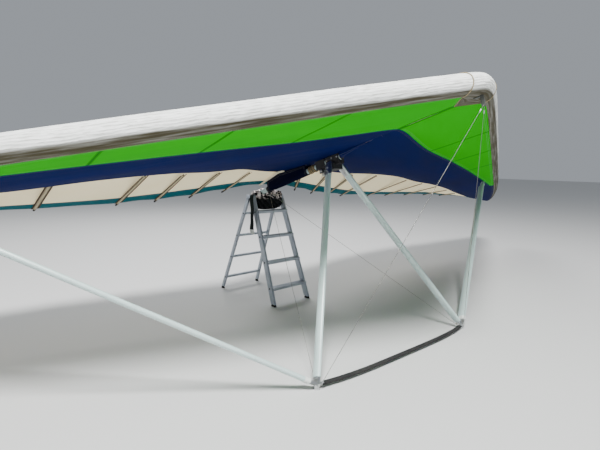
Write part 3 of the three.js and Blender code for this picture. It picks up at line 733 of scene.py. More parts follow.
@dataclass(frozen=True)
class SpanTable:
    """A size that changes smoothly along the span, from rows of span and size."""

    rows: Rows

    def at(self, span: float) -> float:
        """The size at a span."""
        rows, last = self.rows, len(self.rows) - 1
        if span <= rows[0][0]:
            return rows[0][1]
        for row in range(last):
            (x0, v0), (x1, v1) = rows[row], rows[row + 1]
            if span <= x1:
                before, after = rows[max(row - 1, 0)], rows[min(row + 2, last)]
                width = x1 - x0
                start = (v1 - before[1]) / (x1 - before[0]) * width
                end = (after[1] - v0) / (after[0] - x0) * width
                t = (span - x0) / width
                ends = (2 * t**3 - 3 * t**2 + 1) * v0 + (3 * t**2 - 2 * t**3) * v1
                return ends + (t**3 - 2 * t**2 + t) * start + (t**3 - t**2) * end
        return rows[last][1]


@dataclass(frozen=True)
class Wing:
    """Driving sizes of the wing and the surfaces that follow from them."""

    apex: Triple = (0.13315, 0.0, 1.417)
    keel_tilt: float = radians(15.76)
    nose_half_angle: float = radians(63.3)
    anhedral: float = radians(4.03)
    nose_run: float = 1.380
    nose_rise: float = 0.1334
    nose_round: float = 0.100
    half_span: float = 5.0
    cap_span: float = 0.135
    nose_lip: float = 0.165
    colour_end: float = 3.3
    band_depth: float = 0.14
    cloth_depth: float = 0.007
    camber: float = 0.055
    scallop: float = 0.016
    batten_lines: Rows = (
        (0.3, 0.435), (0.655, 0.755), (1.01, 1.07), (1.353, 1.391), (1.996, 2.006), (2.43, 2.43),
        (2.87, 2.86), (3.32, 3.3), (3.78, 3.75))
    trailing_edge: SpanTable = SpanTable((
        (0, 2.39), (0.35, 2.245), (0.7, 2.165), (1.06, 2.075), (1.5, 1.955), (2.2, 1.695), (2.8, 1.385),
        (3.27, 1.11), (3.8, 0.84), (4.3, 0.56), (4.7, 0.33), (5.0, 0.13)))
    rear_edge: SpanTable = SpanTable((
        (0, 2.04), (0.22, 2.02), (0.5, 1.835), (0.87, 1.662), (1.2, 1.43), (1.45, 1.285), (1.75, 1.15),
        (2.2, 1.03), (2.58, 0.88), (3.13, 0.725), (3.66, 0.62), (4.17, 0.48), (4.6, 0.27), (5.0, 0.07)))
    colour_edge: SpanTable = SpanTable((
        (0, 0.625), (0.4, 0.6), (0.73, 0.558), (1.02, 0.49), (1.38, 0.402), (2.0, 0.272), (2.55, 0.172),
        (3.0, 0.096), (3.3, 0.05)))
    rear_lift: SpanTable = SpanTable((
        (0, 0.04), (0.3, 0.092), (0.7, 0.1), (3.2, 0.092), (4.2, 0.074), (5.0, 0.032)))
    trailing_lift: SpanTable = SpanTable((
        (0, 0), (0.5, -0.01), (0.9, -0.016), (1.25, 0), (1.5, 0.012), (1.8, 0.033), (2.2, 0.062),
        (2.8, 0.092), (3.8, 0.108), (4.4, 0.092), (5.0, 0.034)))
    edge_radius: SpanTable = SpanTable(((0, 0.075), (3.3, 0.075), (4.2, 0.066), (4.7, 0.056), (5.0, 0.04)))
    top_radius: SpanTable = SpanTable((
        (0, 0.065), (0.6, 0.07), (1.2, 0.075), (3.3, 0.075), (4.2, 0.066), (4.7, 0.056), (5.0, 0.04)))
    tip_back: SpanTable = SpanTable(((0, 0), (3.3, 0), (3.6, 0.004), (4.0, 0.014), (4.5, 0.052), (5.0, 0.11)))
    lower_curve: SpanTable = SpanTable(((0, 0), (0.5, 0), (0.66, 0.09), (0.8, 0.3), (0.92, 0.68), (1, 1)))

    def along(self) -> Vector:
        """Direction of the keel, to the nose."""
        return Vector((cos(self.keel_tilt), 0, sin(self.keel_tilt)))

    def above(self) -> Vector:
        """Direction square to the keel, upwards."""
        return Vector((-sin(self.keel_tilt), 0, cos(self.keel_tilt)))

    def keel_point(self, run: float, span: float, rise: float) -> Vector:
        """Point at a run along the keel line, a span to port and a rise over that line."""
        return Vector(self.apex) + self.along() * run + self.above() * rise + Vector((0, span, 0))

    def centre(self, span: float) -> Pair:
        """Run and rise of the leading edge's centre."""
        back = hypot(span, self.nose_round) / tan(self.nose_half_angle)
        return self.nose_run - back - self.tip_back.at(span), self.nose_rise - span * tan(self.anhedral)

    def lower_rise(self, span: float, aft: float) -> float:
        """Rise of the lower surface over the leading edge's centre."""
        rear = self.rear_edge.at(span)
        base, lift = -self.edge_radius.at(span), self.rear_lift.at(span)
        if aft >= rear:
            share = (aft - rear) / (self.trailing_edge.at(span) - rear)
            return base + lift + (self.trailing_lift.at(span) - lift) * share
        return base + lift * self.lower_curve.at(aft / rear)

    def upper_rise(self, span: float, aft: float) -> float:
        """Rise of the upper surface over the leading edge's centre."""
        radius, chord = self.top_radius.at(span), self.trailing_edge.at(span)
        share = min(1.0, max(0.0, aft / chord))
        lower = self.lower_rise(span, aft)
        crown = 6.75 * self.camber * chord * share * (1 - share) ** 2
        base = radius + (lower + self.cloth_depth - radius) * share * (2 - share)
        return max(base + crown, lower + 0.01)

    def sail_rise(self, span: float, aft: float) -> float:
        """Rise of the upper sail, which settles one cloth deep behind the lower skins."""
        settle = smooth_step((aft - self.rear_edge.at(span)) / 0.3)
        return self.upper_rise(span, aft) - 0.006 * settle

    def band_start(self, span: float) -> float:
        """Where the coloured band along the trailing edge starts."""
        chord = self.trailing_edge.at(span)
        return chord - min(self.band_depth, 0.3 * (chord - self.rear_edge.at(span)))

    def cap_depth(self, span: float) -> float:
        """How far behind the leading edge the nose cap's lip reaches: it is straight in plan."""
        if span >= self.cap_span:
            return 0.0
        middle, side = self.centre(0)[0] - self.nose_lip, self.centre(self.cap_span)[0]
        return self.centre(span)[0] - middle - (side - middle) * span / self.cap_span

    def batten_span(self, line: Pair, aft: float) -> float:
        """Span of a batten's line at a distance behind the leading edge."""
        inner, outer = line
        start = self.rear_edge.at(inner)
        return inner + (outer - inner) * (aft - start) / (self.trailing_edge.at(outer) - start)

    def scalloped_edge(self, span: float) -> float:
        """Trailing edge, drawn forward a little between the battens."""
        ends = (0.0, *(outer for _, outer in self.batten_lines), self.half_span)
        for start, end in zip(ends, ends[1:]):
            if span <= end:
                dip = sin(pi * (span - start) / (end - start))
                return self.trailing_edge.at(span) - self.scallop * dip * dip
        return self.trailing_edge.at(span)

    def point(self, side: Side, span: float, aft: float, rise: float) -> Vector:
        """Point behind and over the leading edge's centre at a span."""
        run, height = self.centre(span)
        return self.keel_point(run - aft, side.value * span, height + rise)


def wrinkle(span: float, aft: float, depth: float, seed: float) -> float:
    """Small unevenness of stretched cloth, drawn out along the span.

    Args:
        span: Metres along the wing.
        aft: Metres across it.
        depth: Greatest height.
        seed: Moves the pattern, so that no two panels agree.

    Returns:
        The height.
    """
    broad = noise.noise(Vector((span * 0.9, aft * 3.5, seed)))
    fine = noise.noise(Vector((span * 2.6, aft * 9.0, seed + 7)))
    return depth * (0.7 * broad + 0.3 * fine)


@dataclass
class Canopy:
    """The wing's cloth: leading edge, lower skins, upper sail, trailing band and nose cap."""

    wing: Wing
    columns: int = 150
    rows: int = 26
    hems: float = 1.02
    edge_width: float = 0.26
    cap_size: Pair = (0.31, 0.56)
    cap_proud: float = 0.002
    piping_radius: float = 0.0035

    def _panel(
        self, name: str, slot: str, side: Side, spans: Pair, front: Callable[[float], float],
        rear: Callable[[float], float], rise: Callable[[float, float], float], node: str, depth: float = 0.004,
    ) -> None:
        """Args:
            name: The piece's name.
            slot: Its finish.
            side: Which half of the wing.
            spans: Its inner and outer ends.
            front: Distance behind the leading edge where it starts, by span.
            rear: Distance where it ends, by span.
            rise: Its height over the leading edge's centre, by span and distance.
            node: The CAD node it stands for.
            depth: Depth of its wrinkles.
        """
        wing, (inner, outer), least = self.wing, spans, 0.002

        def where(u: float, v: float) -> Pair:
            span = inner + (outer - inner) * u
            start = front(span)
            return span, start + (max(rear(span), start + least) - start) * v

        def place(u: float, v: float) -> Vector:
            span, aft = where(u, v)
            hold = min(1.0, 4 * v, 4 * (1 - v))
            fold = wrinkle(span, aft, depth, side.value * 3.0) * hold
            return wing.point(side, span, aft, rise(span, aft) + fold)

        def edge(u: float, v: float) -> float:
            span = inner + (outer - inner) * u
            return min(v, 1 - v) * max(rear(span) - front(span), least)

        mesh = Maker.sheet(self.columns, self.rows, place, where, edge)
        area = area_of(mesh)
        length = max(outer - inner, 0.1) / sin(wing.nose_half_angle)
        width = max(max(rear(s) - front(s) for s in (inner, (inner + outer) / 2, outer)), area / length)
        made = Maker.piece(
            f"{name}_{side.label}", mesh, slot, replaces=[f"{node}_{side.label}"], smooth=60)
        width * self.hems
        length * self.hems
        min(max(area, 0.31 * width * length * 1.04), width * length * 1.04)

    def build(self) -> None:
        """Makes all the wing's cloth."""
        wing = self.wing
        inner, outer, whole = (0.0, wing.colour_end), (wing.colour_end, wing.half_span), (0.0, wing.half_span)
        for side in Side:
            self._leading_edge(side)
            for name, slot, spans, front, rear, rise, node, depth in (
                ("lower_front", "green_cloth", inner, wing.cap_depth, wing.colour_edge.at, wing.lower_rise,
                 "lower_skin_front", 0.004),
                ("lower_rear", "blue_cloth", inner, wing.colour_edge.at, wing.rear_edge.at, wing.lower_rise,
                 "lower_skin_rear", 0.006),
                ("lower_tip", "blue_cloth", outer, lambda span: 0.0, wing.rear_edge.at, wing.lower_rise,
                 "lower_skin_tip", 0.004),
                ("upper_sail", "sail_cloth", whole, wing.cap_depth, wing.band_start, wing.sail_rise,
                 "sail", 0.005),
                ("trailing_band_cloth", "teal_cloth", whole, wing.band_start, wing.scalloped_edge,
                 wing.sail_rise, "trailing_band", 0.002),
            ):
                self._panel(name, slot, side, spans, front, rear, rise, node, depth)
        self._nose_cap()

    def _leading_edge(self, side: Side) -> None:
        """Makes the ribbed cloth round the leading edge."""
        wing = self.wing
        reach = sin(wing.nose_half_angle)

        def span_at(u: float) -> float:
            return wing.cap_span + (wing.half_span - wing.cap_span) * u

        def place(u: float, v: float) -> Vector:
            span, angle = span_at(u), pi * (v - 0.5)
            fold = wrinkle(span * 2, v * 1.4, 0.003, side.value * 9.0)
            low, top = wing.edge_radius.at(span) + fold, wing.top_radius.at(span) + fold
            rise = (top if angle > 0 else low) * sin(angle)
            return wing.point(side, span, -low / reach * cos(angle), rise)

        def cloth(u: float, v: float) -> Pair:
            return span_at(u) / reach, pi * wing.edge_radius.at(span_at(u)) * v

        mesh = Maker.sheet(260, 28, place, cloth, lambda u, v: min(v, 1 - v) * pi * 0.075)
        area = area_of(mesh)
        made = Maker.piece(
            f"leading_edge_cloth_{side.label}", mesh, "white_cloth", replaces=[f"leading_edge_{side.label}"],
            smooth=60)

    def _nose_cap(self) -> None:
        """Makes the cap over the nose, with piping along its lips."""
        wing, proud = self.wing, self.cap_proud
        reach = 1 / sin(wing.nose_half_angle)

        def outline(span: float, v: float) -> Pair:
            lip = wing.cap_depth(span) + 0.004
            low, top = wing.edge_radius.at(span) + proud, wing.top_radius.at(span) + proud
            if v < 0.25:
                return lip * (1 - v / 0.25), -low
            if v > 0.75:
                aft = lip * (v - 0.75) / 0.25
                return aft, wing.upper_rise(span, aft) + proud
            angle = pi * (v - 0.5) * 2
            return -low * reach * cos(angle), (top if angle > 0 else low) * sin(angle)

        def place(u: float, v: float) -> Vector:
            span = wing.cap_span * (2 * u - 1)
            aft, rise = outline(abs(span), v)
            run, height = wing.centre(abs(span))
            pucker = wrinkle(span * 3, v * 1.6, 0.0025, 5.0)
            return wing.keel_point(run - aft + pucker, span, height + rise + pucker * (2 * v - 1))

        def cloth(u: float, v: float) -> Pair:
            return wing.cap_span * (2 * u - 1) * reach, 2 * pi * wing.edge_radius.at(0) * (v - 0.25)

        width, length = self.cap_size
        mesh = Maker.sheet(72, 64, place, cloth, lambda u, v: min(v, 1 - v) * length)
        area = area_of(mesh)
        made = Maker.piece("nose_cap_cloth", mesh, "white_cloth", replaces=["nose_cap"], smooth=60)
        lips = [[place(step / 40, v) for step in range(41)] for v in (0.0, 1.0)]
        lips += [[place(u, 0.25 + step / 80) for step in range(41)] for u in (0.0, 1.0)]
        piping = Maker.piece(
            "nose_cap_piping", Maker.merge(Maker.tube(line, self.piping_radius, 8) for line in lips),
            "tan_webbing")


@dataclass
class Battens:
    """Batten pockets under the single cloth, and the batten ends behind it."""

    wing: Wing
    radius: float = 0.006
    reach: float = 0.038
    lead: float = 0.032
    steps: int = 12
    pocket_half: float = 0.026
    pocket_spans: float = 2.2
    pocket_proud: float = 0.0012
    root_spans: Pair = (0.042, 0.058)
    root_afts: Pair = (1.95, 2.36)
    root_radius: float = 0.0065

    def build(self) -> None:
        """Makes the battens of both sides, their sewn pockets and the doubled root battens."""
        wing = self.wing
        for side in Side:
            rods, ends = [], []
            for number, line in enumerate(wing.batten_lines):
                start, end = wing.rear_edge.at(line[0]) + self.lead, wing.trailing_edge.at(line[1])
                reach = end + self.reach
                points = [self._under(side, line, aft) for aft in self._afts(start, reach)]
                rods.append(Maker.tube(points, self.radius))
                ends += self._end(points[-1], (points[-1] - points[-2]).normalized())
                self._pocket(side, number + 1, line, start, end - 0.012)
            Maker.parts(f"battens_{side.label}", rods, "tan_webbing")
            Maker.parts(f"batten_ends_{side.label}", ends, "black_rubber")
            self._root(side)

    def _afts(self, start: float, end: float) -> list[float]:
        """Distances behind the leading edge at which a batten's line is set out."""
        return [start + (end - start) * step / self.steps for step in range(self.steps + 1)]

    def _under(self, side: Side, line: Pair, aft: float, across: float = 0.0) -> Vector:
        """Centre of a batten just under the cloth, or a point beside it."""
        span = self.wing.batten_span(line, aft) + across
        return self.wing.point(side, span, aft, self.wing.lower_rise(span, aft) + 0.0005)

    def _pocket(self, side: Side, number: int, line: Pair, start: float, end: float) -> None:
        """Makes the strip of cloth sewn over one batten, flat at its edges and round over the rod."""
        half = self.pocket_half * (1.0 if line[0] < self.pocket_spans else 0.6)
        lift = self.radius * 1.35

        def place(u: float, v: float) -> Vector:
            across = half * (2 * v - 1)
            bulge = lift * exp(-((across / (self.radius * 1.3)) ** 2)) + self.pocket_proud
            aft = start + (end - start) * u
            return self._under(side, line, aft, across) - self.wing.above() * bulge

        mesh = Maker.sheet(
            40, 14, place, lambda u, v: ((end - start) * u, half * (2 * v - 1)),
            lambda u, v: half * (1 - abs(2 * v - 1)))
        made = Maker.piece(
            f"batten_pocket_{side.label}_{number}", mesh, "tan_webbing", smooth=70, finish="batten_pocket")
        2.3 * half
        end - start

    def _end(self, tip: Vector, direction: Vector) -> list[Shape]:
        """Moulded end with a notch for its cord loop."""
        sideways, loop = direction.cross(UP).normalized(), []
        for step in range(17):
            angle = pi * step / 16
            back = direction * (0.012 + 0.045 * sin(angle))
            loop.append(tip - back + sideways * 0.011 * cos(angle) + self.wing.above() * -0.004)
        return [
            Maker.disc(0.0085, 0.024, 14, Maker.aim(direction, tip - direction * 0.01), 0.002),
            Maker.disc(0.0065, 0.008, 14, Maker.aim(direction, tip + direction * 0.006), 0.002),
            Maker.tube(loop, 0.0014, 6),
        ]

    def _root(self, side: Side) -> None:
        """Rods side by side at the root, one each side of the sail's middle seam."""
        wing, rods = self.wing, []
        for span in self.root_spans:
            afts = self._afts(*self.root_afts)
            line = [wing.point(side, span, aft, wing.lower_rise(span, aft) - self.radius) for aft in afts]
            rods.append(Maker.tube(line, self.root_radius))
        Maker.parts(f"root_battens_{side.label}", rods, "sail_cloth", finish="pale_rod")


@dataclass
class Keel:
    """Cloth, straps and fastenings along the keel tube."""

    wing: Wing
    radius: float = 0.025
    rise_at_apex: float = 0.024
    slope: float = 0.036
    pocket_runs: Pair = (-0.32, -0.938)
    pocket_width: float = 0.26
    pocket_room: float = 0.009
    fairing_runs: Pair = (0.112, 0.40)
    fairing_width: float = 0.085
    strap_runs: tuple[float, ...] = (-0.252 - 0.030, -0.252, -0.252 + 0.030)
    strap_width: float = 0.027
    strap_wall: float = 0.0024

    def axis(self, run: float) -> float:
        """Rise of the tube's axis over the keel line."""
        return self.rise_at_apex + self.slope * run

    def roof(self, run: float, span: float) -> float:
        """Rise of the wing's lower surface over the keel line."""
        centre, rise = self.wing.centre(span)
        return rise + self.wing.lower_rise(span, centre - run)

    def build(self) -> None:
        """Makes the pocket, the fairing and the strap."""
        self._hull(
            "keel_pocket_cloth", "navy_cloth", self.pocket_runs, self._pocket_section, self.pocket_width,
            "keel_pocket", 0.004)
        self._hull(
            "keel_fairing_cloth", "blue_cloth", self.fairing_runs, self._fairing_section, self.fairing_width,
            "keel_fairing", 0.002)
        self._strap()

    def _hull(
        self, name: str, slot: str, runs: Pair, section: Cut, width: float, node: str,
        depth: float,
    ) -> None:
        """Makes one cloth slung under the keel line.

        Args:
            name: The piece's name.
            slot: Its finish.
            runs: Where it starts and ends along the keel.
            section: Span and rise for a run and a share round it.
            width: Its cut width.
            node: The CAD node it stands for.
            depth: Depth of its wrinkles.
        """
        start, end = runs
        length = abs(end - start)

        def place(u: float, v: float) -> Vector:
            run = start + (end - start) * u
            span, rise = section(run, v)
            crease = noise.noise(Vector((run * 6, v * 7, 3.0))) * depth * sin(pi * v)
            return self.wing.keel_point(run, span, rise - crease)

        mesh = Maker.sheet(
            48, 28, place, lambda u, v: (length * u, width * (v - 0.5)),
            lambda u, v: min(min(u, 1 - u) * length, min(v, 1 - v) * width))
        made = Maker.piece(name, mesh, slot, replaces=[node], smooth=60)

    def _pocket_section(self, run: float, v: float) -> Pair:
        """Section of the dark pocket behind the control frame: straight sides and a round bottom."""
        axis, half, side = self.axis(run), self.radius + self.pocket_room, 0.3
        share = min(v, 1 - v) / side
        if share < 1:
            roof = self.roof(run, half) - 0.001
            return copysign(half, v - 0.5), roof + (axis - roof) * share
        angle = pi * (v - side) / 0.4
        return -half * cos(angle), axis - half * sin(angle)

    def _fairing_section(self, run: float, v: float) -> Pair:
        """Section of the shallow fairing ahead of the control frame, which fades to the front."""
        depth = 0.026 - 0.020 * smooth_step((run - self.fairing_runs[0]) / 0.288)
        span = -(0.014 + depth * 0.7) * cos(pi * v)
        return span, self.roof(run, abs(span)) - depth * 1.8 * sin(pi * v)

    def _strap(self) -> None:
        """Makes three turns of webbing round the keel, their ends sewn."""
        wing, width, turns = self.wing, self.strap_width, []
        for run in self.strap_runs:

            def place(u: float, v: float, run: float = run) -> Vector:
                angle = 2 * pi * u
                crown = 0.0012 * sin(pi * v)
                radius = self.radius + 0.006 + crown + 0.0025 * sin(3 * angle + run * 90)
                local = run + width * (v - 0.5) + 0.004 * sin(angle)
                rise = self.axis(local) + radius * sin(angle)
                return wing.keel_point(local, radius * cos(angle), rise)

            turns.append(Maker.sheet(48, 6, place, lambda u, v: (0.2 * u, width * (v - 0.5)), weld=0.0002))
        made = Maker.parts("keel_strap_webbing", turns, "tan_webbing", replaces=["keel_strap"])
        wall = made.modifiers.new("thickness", "SOLIDIFY")
        wall.thickness, wall.offset = self.strap_wall, 1.0


@dataclass
class ControlFrame:
    """Fastenings, wires and fittings of the control frame."""

    wing: Wing
    corner: Triple = (0.92415, 0.853, 0.030)
    tube_start: Triple = (0.15315, 0.062, 1.405)
    strut_run: float = -0.200
    strut_span: float = 2.853
    wire_radius: float = 0.0016
    post_radius: float = 0.020
    tang_run: float = 1.352
    tail_run: float = -0.958
    bar_slope: float = 0.2345
    bracket_bolts: Rows = ((-0.042, 0.030), (0.020, 0.038), (0.082, 0.032))

    def build(self) -> None:
        """Makes what shows of the frame's hardware."""
        for side in Side:
            corner, start = self._placed(self.corner, side), self._placed(self.tube_start, side)
            top = self._strut_top(side)
            self._corner(side, corner, start, top)
            self._top(side, corner, start)
            self._strut(side, corner, top)
            self._wires(side, corner)
        self._apex()

    def _placed(self, at: Triple, side: Side) -> Vector:
        """A point of the port half, or its mirror image."""
        x, y, z = at
        return Vector((x, side.value * y, z))

    def _strut_top(self, side: Side) -> Vector:
        """Where the strut meets the wing."""
        run, rise = self.wing.centre(self.strut_span)
        lower = self.wing.lower_rise(self.strut_span, run - self.strut_run)
        return self.wing.keel_point(self.strut_run, side.value * self.strut_span, rise + lower - 0.006)

    def _square(self, outward: Vector) -> tuple[Vector, Vector]:
        """Directions square to a tube: across its flat faces, and out of them."""
        along = self.wing.along()
        flat = (along - outward * along.dot(outward)).normalized()
        return flat, outward.cross(flat)

    def _corner(self, side: Side, corner: Vector, start: Vector, top: Vector) -> None:
        """Bolts through the corner's two lugs, and the dark pin through the base bar's end."""
        parts, pins = [], []
        for target, half, distances in ((start, 0.0092, (0.034,)), (top, 0.0102, (0.036, 0.050))):
            outward = (target - corner).normalized()
            normal = self._square(outward)[1]
            for face in FACES:
                for distance in distances:
                    at = corner + outward * distance + normal * face * half
                    parts += Maker.bolt(at, normal * face, 0.0050, 0.003)
        inward = Vector((self.bar_slope, -side.value, 0)).normalized()
        across = inward.cross(UP)
        for face in FACES:
            pins += Maker.bolt(corner + inward * 0.040 + across * face * 0.0118, across * face, 0.0052, 0.005)
        pins.append(Maker.disc(0.0142, 0.004, 28, Maker.aim(inward, corner + inward * 0.0495), 0.001))
        Maker.parts(f"corner_bolts_{side.label}", parts)
        Maker.parts(f"corner_pin_{side.label}", pins, "black_fitting")

    def _top(self, side: Side, corner: Vector, start: Vector) -> None:
        """Bolts and rivets through the downtube's top sleeve."""
        down, parts = (corner - start).normalized(), []
        flat, normal = self._square(down)
        for face in FACES:
            for distance in (0.046, 0.082):
                at = start + down * distance + normal * face * 0.0182
                parts += Maker.bolt(at, normal * face, 0.0058, 0.004)
            for shift in (-0.014, 0.010):
                at = start + down * 0.101 + flat * shift + normal * face * 0.0175
                parts.append(Maker.disc(0.0028, 0.003, 12, Maker.aim(normal * face, at), 0.0008))
        Maker.parts(f"sleeve_bolts_{side.label}", parts)

    def _strut(self, side: Side, corner: Vector, top: Vector) -> None:
        """Bolt through the strut's head fitting and its lower knuckle's two screws."""
        outward = (top - corner).normalized()
        normal = self._square(outward)[1]
        head = corner + outward * ((top - corner).length - 0.062)
        parts, screws = [], []
        for face in FACES:
            parts += Maker.bolt(head + normal * face * 0.0102, normal * face, 0.0075, 0.005)
            for distance in (0.072, 0.088):
                at = corner + outward * distance + normal * face * 0.0188
                screws.append(Maker.disc(0.0042, 0.0032, 14, Maker.aim(normal * face, at), 0.001))
        Maker.parts(f"strut_head_bolt_{side.label}", parts)
        Maker.parts(f"knuckle_screws_{side.label}", screws)

    def _wires(self, side: Side, corner: Vector) -> None:
        """Stranded wires with a pressed sleeve near each end."""
        wing, sign, wire = self.wing, side.value, self.wire_radius
        nose = wing.keel_point(self.tang_run, sign * (0.0033 + wire), -0.004)
        tail_rise = Keel(wing).axis(self.tail_run) - 0.043
        tail = wing.keel_point(self.tail_run, sign * (0.0043 + wire), tail_rise)
        front_start = Vector((corner.x + self.post_radius + wire + 0.0003, corner.y, 0.016))
        low = Vector((corner.x, corner.y, 0.005))
        share = (self.post_radius + 0.0009) / hypot(tail.x - low.x, tail.y - low.y)
        for label, start, end in (("front", front_start, nose), ("rear", low.lerp(tail, share), tail)):
            strand = Maker.tube([start.lerp(end, step / 24) for step in range(25)], wire, 10)
            Maker.piece(
                f"{label}_wire_strand_{side.label}", strand, "steel_wire",
                replaces=[f"{label}_wire_{side.label}"])
            direction = (end - start).normalized()
            sleeves = [
                Maker.disc(0.0036, 0.022, 12, Maker.aim(direction, at), 0.0009)
                for at in (start + direction * 0.045, end - direction * 0.045)]
            Maker.parts(f"{label}_wire_sleeves_{side.label}", sleeves)

    def _apex(self) -> None:
        """Cross bolts through the frame bracket, and a dark plug in the keel tube's front end that paints the
        shade over that end.
        """
        wing, parts = self.wing, []
        for face in FACES:
            for run, rise in self.bracket_bolts:
                at = wing.keel_point(run, face * 0.0322, rise)
                parts += Maker.bolt(at, Vector((0, face, 0)), 0.0052, 0.003)
        Maker.parts("bracket_bolts", parts)
        # The dark plug is painted shade: it hides the pale tube end, which lies in shadow.
        plug = Maker.aim(wing.along(), wing.keel_point(0.1095, 0, Keel(wing).axis(0.108)))
        Maker.piece("keel_front_shade_plug", Maker.disc(0.0262, 0.006, 32, plug, 0.0015), "black_rubber")


@dataclass
class HangPoint:
    """Bolt that the hang block swings on."""

    wing: Wing
    run: float = -0.132
    pivot_rise: float = -0.036
    cheek: float = 0.0272

    def build(self) -> None:
        """Makes the nut and head outside the bracket's cheeks."""
        parts = []
        for face in FACES:
            at = self.wing.keel_point(self.run, face * self.cheek, self.pivot_rise)
            parts += Maker.bolt(at, Vector((0, face, 0)), 0.0088, 0.004)
        Maker.parts("hang_bolt_ends", parts)


@dataclass
class Stepladder:
    """Tread ribs, rivets and feet of the stepladder, and the cloth on its top.

    Sizes that come in pairs are the front frame's and the rear frame's.
    """

    centre: Pair = (-0.97925, 0.084)
    turn: float = radians(3.35)
    pivot_z: float = 1.062
    pivot_half: float = 0.2112
    spread: float = 0.446
    step_spacing: float = 0.2468
    step_count: int = 4
    foot_half: Pair = (0.228, 0.240)
    top_half: float = 0.186
    rail_half: Pair = (0.012, 0.010)
    plane_offset: Pair = (0.036, 0.030)
    step_drop: Pair = (0.079, 0.110)
    rib_count: int = 7
    rib_pitch: float = 0.011
    bundle_ahead: float = 0.030
    bundle_depths: Rows = (
        (0.9212, 0.055), (0.936, 0.09), (0.975, 0.115), (1.03, 0.115), (1.08, 0.108), (1.108, 0.09),
        (1.128, 0.06))
    bundle_widths: Rows = (
        (0.9212, 0.12), (0.936, 0.15), (0.975, 0.165), (1.03, 0.166), (1.08, 0.168), (1.108, 0.167),
        (1.128, 0.115))
    tape_size: Pair = (0.060, 0.48)
    tape_out: Rows = (
        (0, 0.150), (0.06, 0.205), (0.10, 0.222), (0.20, 0.230), (0.48, 0.236))
    tape_ahead: Rows = ((0, 0.040), (0.10, 0.060), (0.20, 0.080), (0.48, 0.092))
    tape_height: Rows = (
        (0, 1.086), (0.06, 1.082), (0.10, 1.050), (0.20, 0.960), (0.48, 0.682))

    def __post_init__(self) -> None:
        """Works out the way from the ladder's own frame to the part's."""
        x, y = self.centre
        self.matrix = Matrix.Translation((x, y, 0)) @ Matrix.Rotation(self.turn, 4, "Z")

    def _out(self, face: int) -> Vector:
        """Direction out of a rail's side."""
        return self.matrix.to_3x3() @ Vector((0, face, 0))

    def _rail(self, rear: bool, step: int) -> Triple:
        """A rail's centre line at a step: ahead of the pivot, out from the middle, and up."""
        offset, height = self.plane_offset[rear], step * self.step_spacing - self.step_drop[rear]
        reach = hypot(self.spread, self.pivot_z)
        lean = atan2(self.spread, self.pivot_z) - asin(offset / reach)
        drop = (self.pivot_z + offset * sin(lean) - height) / cos(lean)
        ahead = offset * cos(lean) + drop * sin(lean)
        half = self.foot_half[rear] + (self.top_half - self.foot_half[rear]) * height / self.pivot_z
        return -ahead if rear else ahead, half, height

    def build(self) -> None:
        """Makes the ribs, rivets, tube ends, hinge bolts, feet and bundle."""
        self._treads()
        halves = (("front", GLIDER), ("rear", LADDER_REAR))
        for rear, (label, body) in enumerate(halves):
            self._rail_ends(bool(rear), label, body)
        for label, body in halves:
            for side in Side:
                self._foot(f"{label}_{side.label}", body)
        self._bundle()
        self._hanging_tape()

    def _treads(self) -> None:
        """Raised grip ribs across each tread, and rivets where the treads meet the rails."""
        ribs, rivets = [], []
        for step in range(1, self.step_count + 1):
            middle, half, height = self._rail(False, step)
            for line in range(self.rib_count):
                ahead = middle - 0.020 + line * self.rib_pitch
                at = self.matrix @ Matrix.Translation((ahead, 0, height + 0.0126))
                ribs.append(Maker.slab((0.004, 2 * half - 0.036, 0.0016), at, 0.0005))
            for face in FACES:
                for shift in (-0.016, 0.018):
                    at = self.matrix @ Vector((middle + shift, face * (half + 0.0125), height))
                    rivets.append(Maker.disc(0.0038, 0.003, 12, Maker.aim(self._out(face), at), 0.001))
        Maker.parts("ladder_tread_ribs", ribs, "ladder_metal")
        Maker.parts("ladder_rivets", rivets)

    def _rail_ends(self, rear: bool, label: str, body: str) -> None:
        """Rims of the steps' open tube ends in the rails' outer faces, with dark discs in them as painted shade
        of the hollow tubes, and the rear frame's hinge bolts.
        """
        rings, holes = [], []
        for step in range(1, self.step_count + 1):
            middle, half, height = self._rail(rear, step)
            for face in FACES:
                at = self.matrix @ Vector((middle, face * (half + self.rail_half[rear] + 0.0004), height))
                aimed = Maker.aim(self._out(face), at)
                rings.append(Maker.disc(0.0125, 0.0020, 28, aimed, 0.0006))
                # Each dark disc is painted shade: it stands for the shaded hollow of the open tube, in the black
                # rubber finish.
                holes.append(Maker.disc(0.0096, 0.0026, 28, aimed, 0.0004))
        for face in (FACES if rear else ()):
            at = self.matrix @ Vector((0, face * self.pivot_half, self.pivot_z))
            rings += Maker.bolt(at, self._out(face), 0.0075, 0.003)
        Maker.parts(f"ladder_tube_rims_{label}", rings, "ladder_metal", body)
        Maker.parts(f"ladder_tube_ends_{label}", holes, "black_rubber", body)

    def _foot(self, label: str, body: str) -> None:
        """Ribbed rubber shoe in place of a plain foot."""
        node, parts = f"ladder_foot_{label}", []
        low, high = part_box(node)
        middle, turned = (low + high) / 2, Matrix.Rotation(self.turn, 4, "Z")
        local = Matrix.Rotation(-self.turn, 4, "Z") @ (high - low)
        size = (abs(local.x) * 0.86, abs(local.y) * 0.74, high.z - low.z)
        for layer in range(3):
            share = 1.0 - 0.08 * layer
            at = Matrix.Translation((middle.x, middle.y, low.z + size[2] * (layer + 0.5) / 3))
            parts.append(Maker.slab(
                (size[0] * share, size[1] * share, size[2] / 3 - 0.0004), at @ turned, 0.002))
        Maker.parts(f"ladder_shoe_{label}", parts, "black_rubber", body, [node])

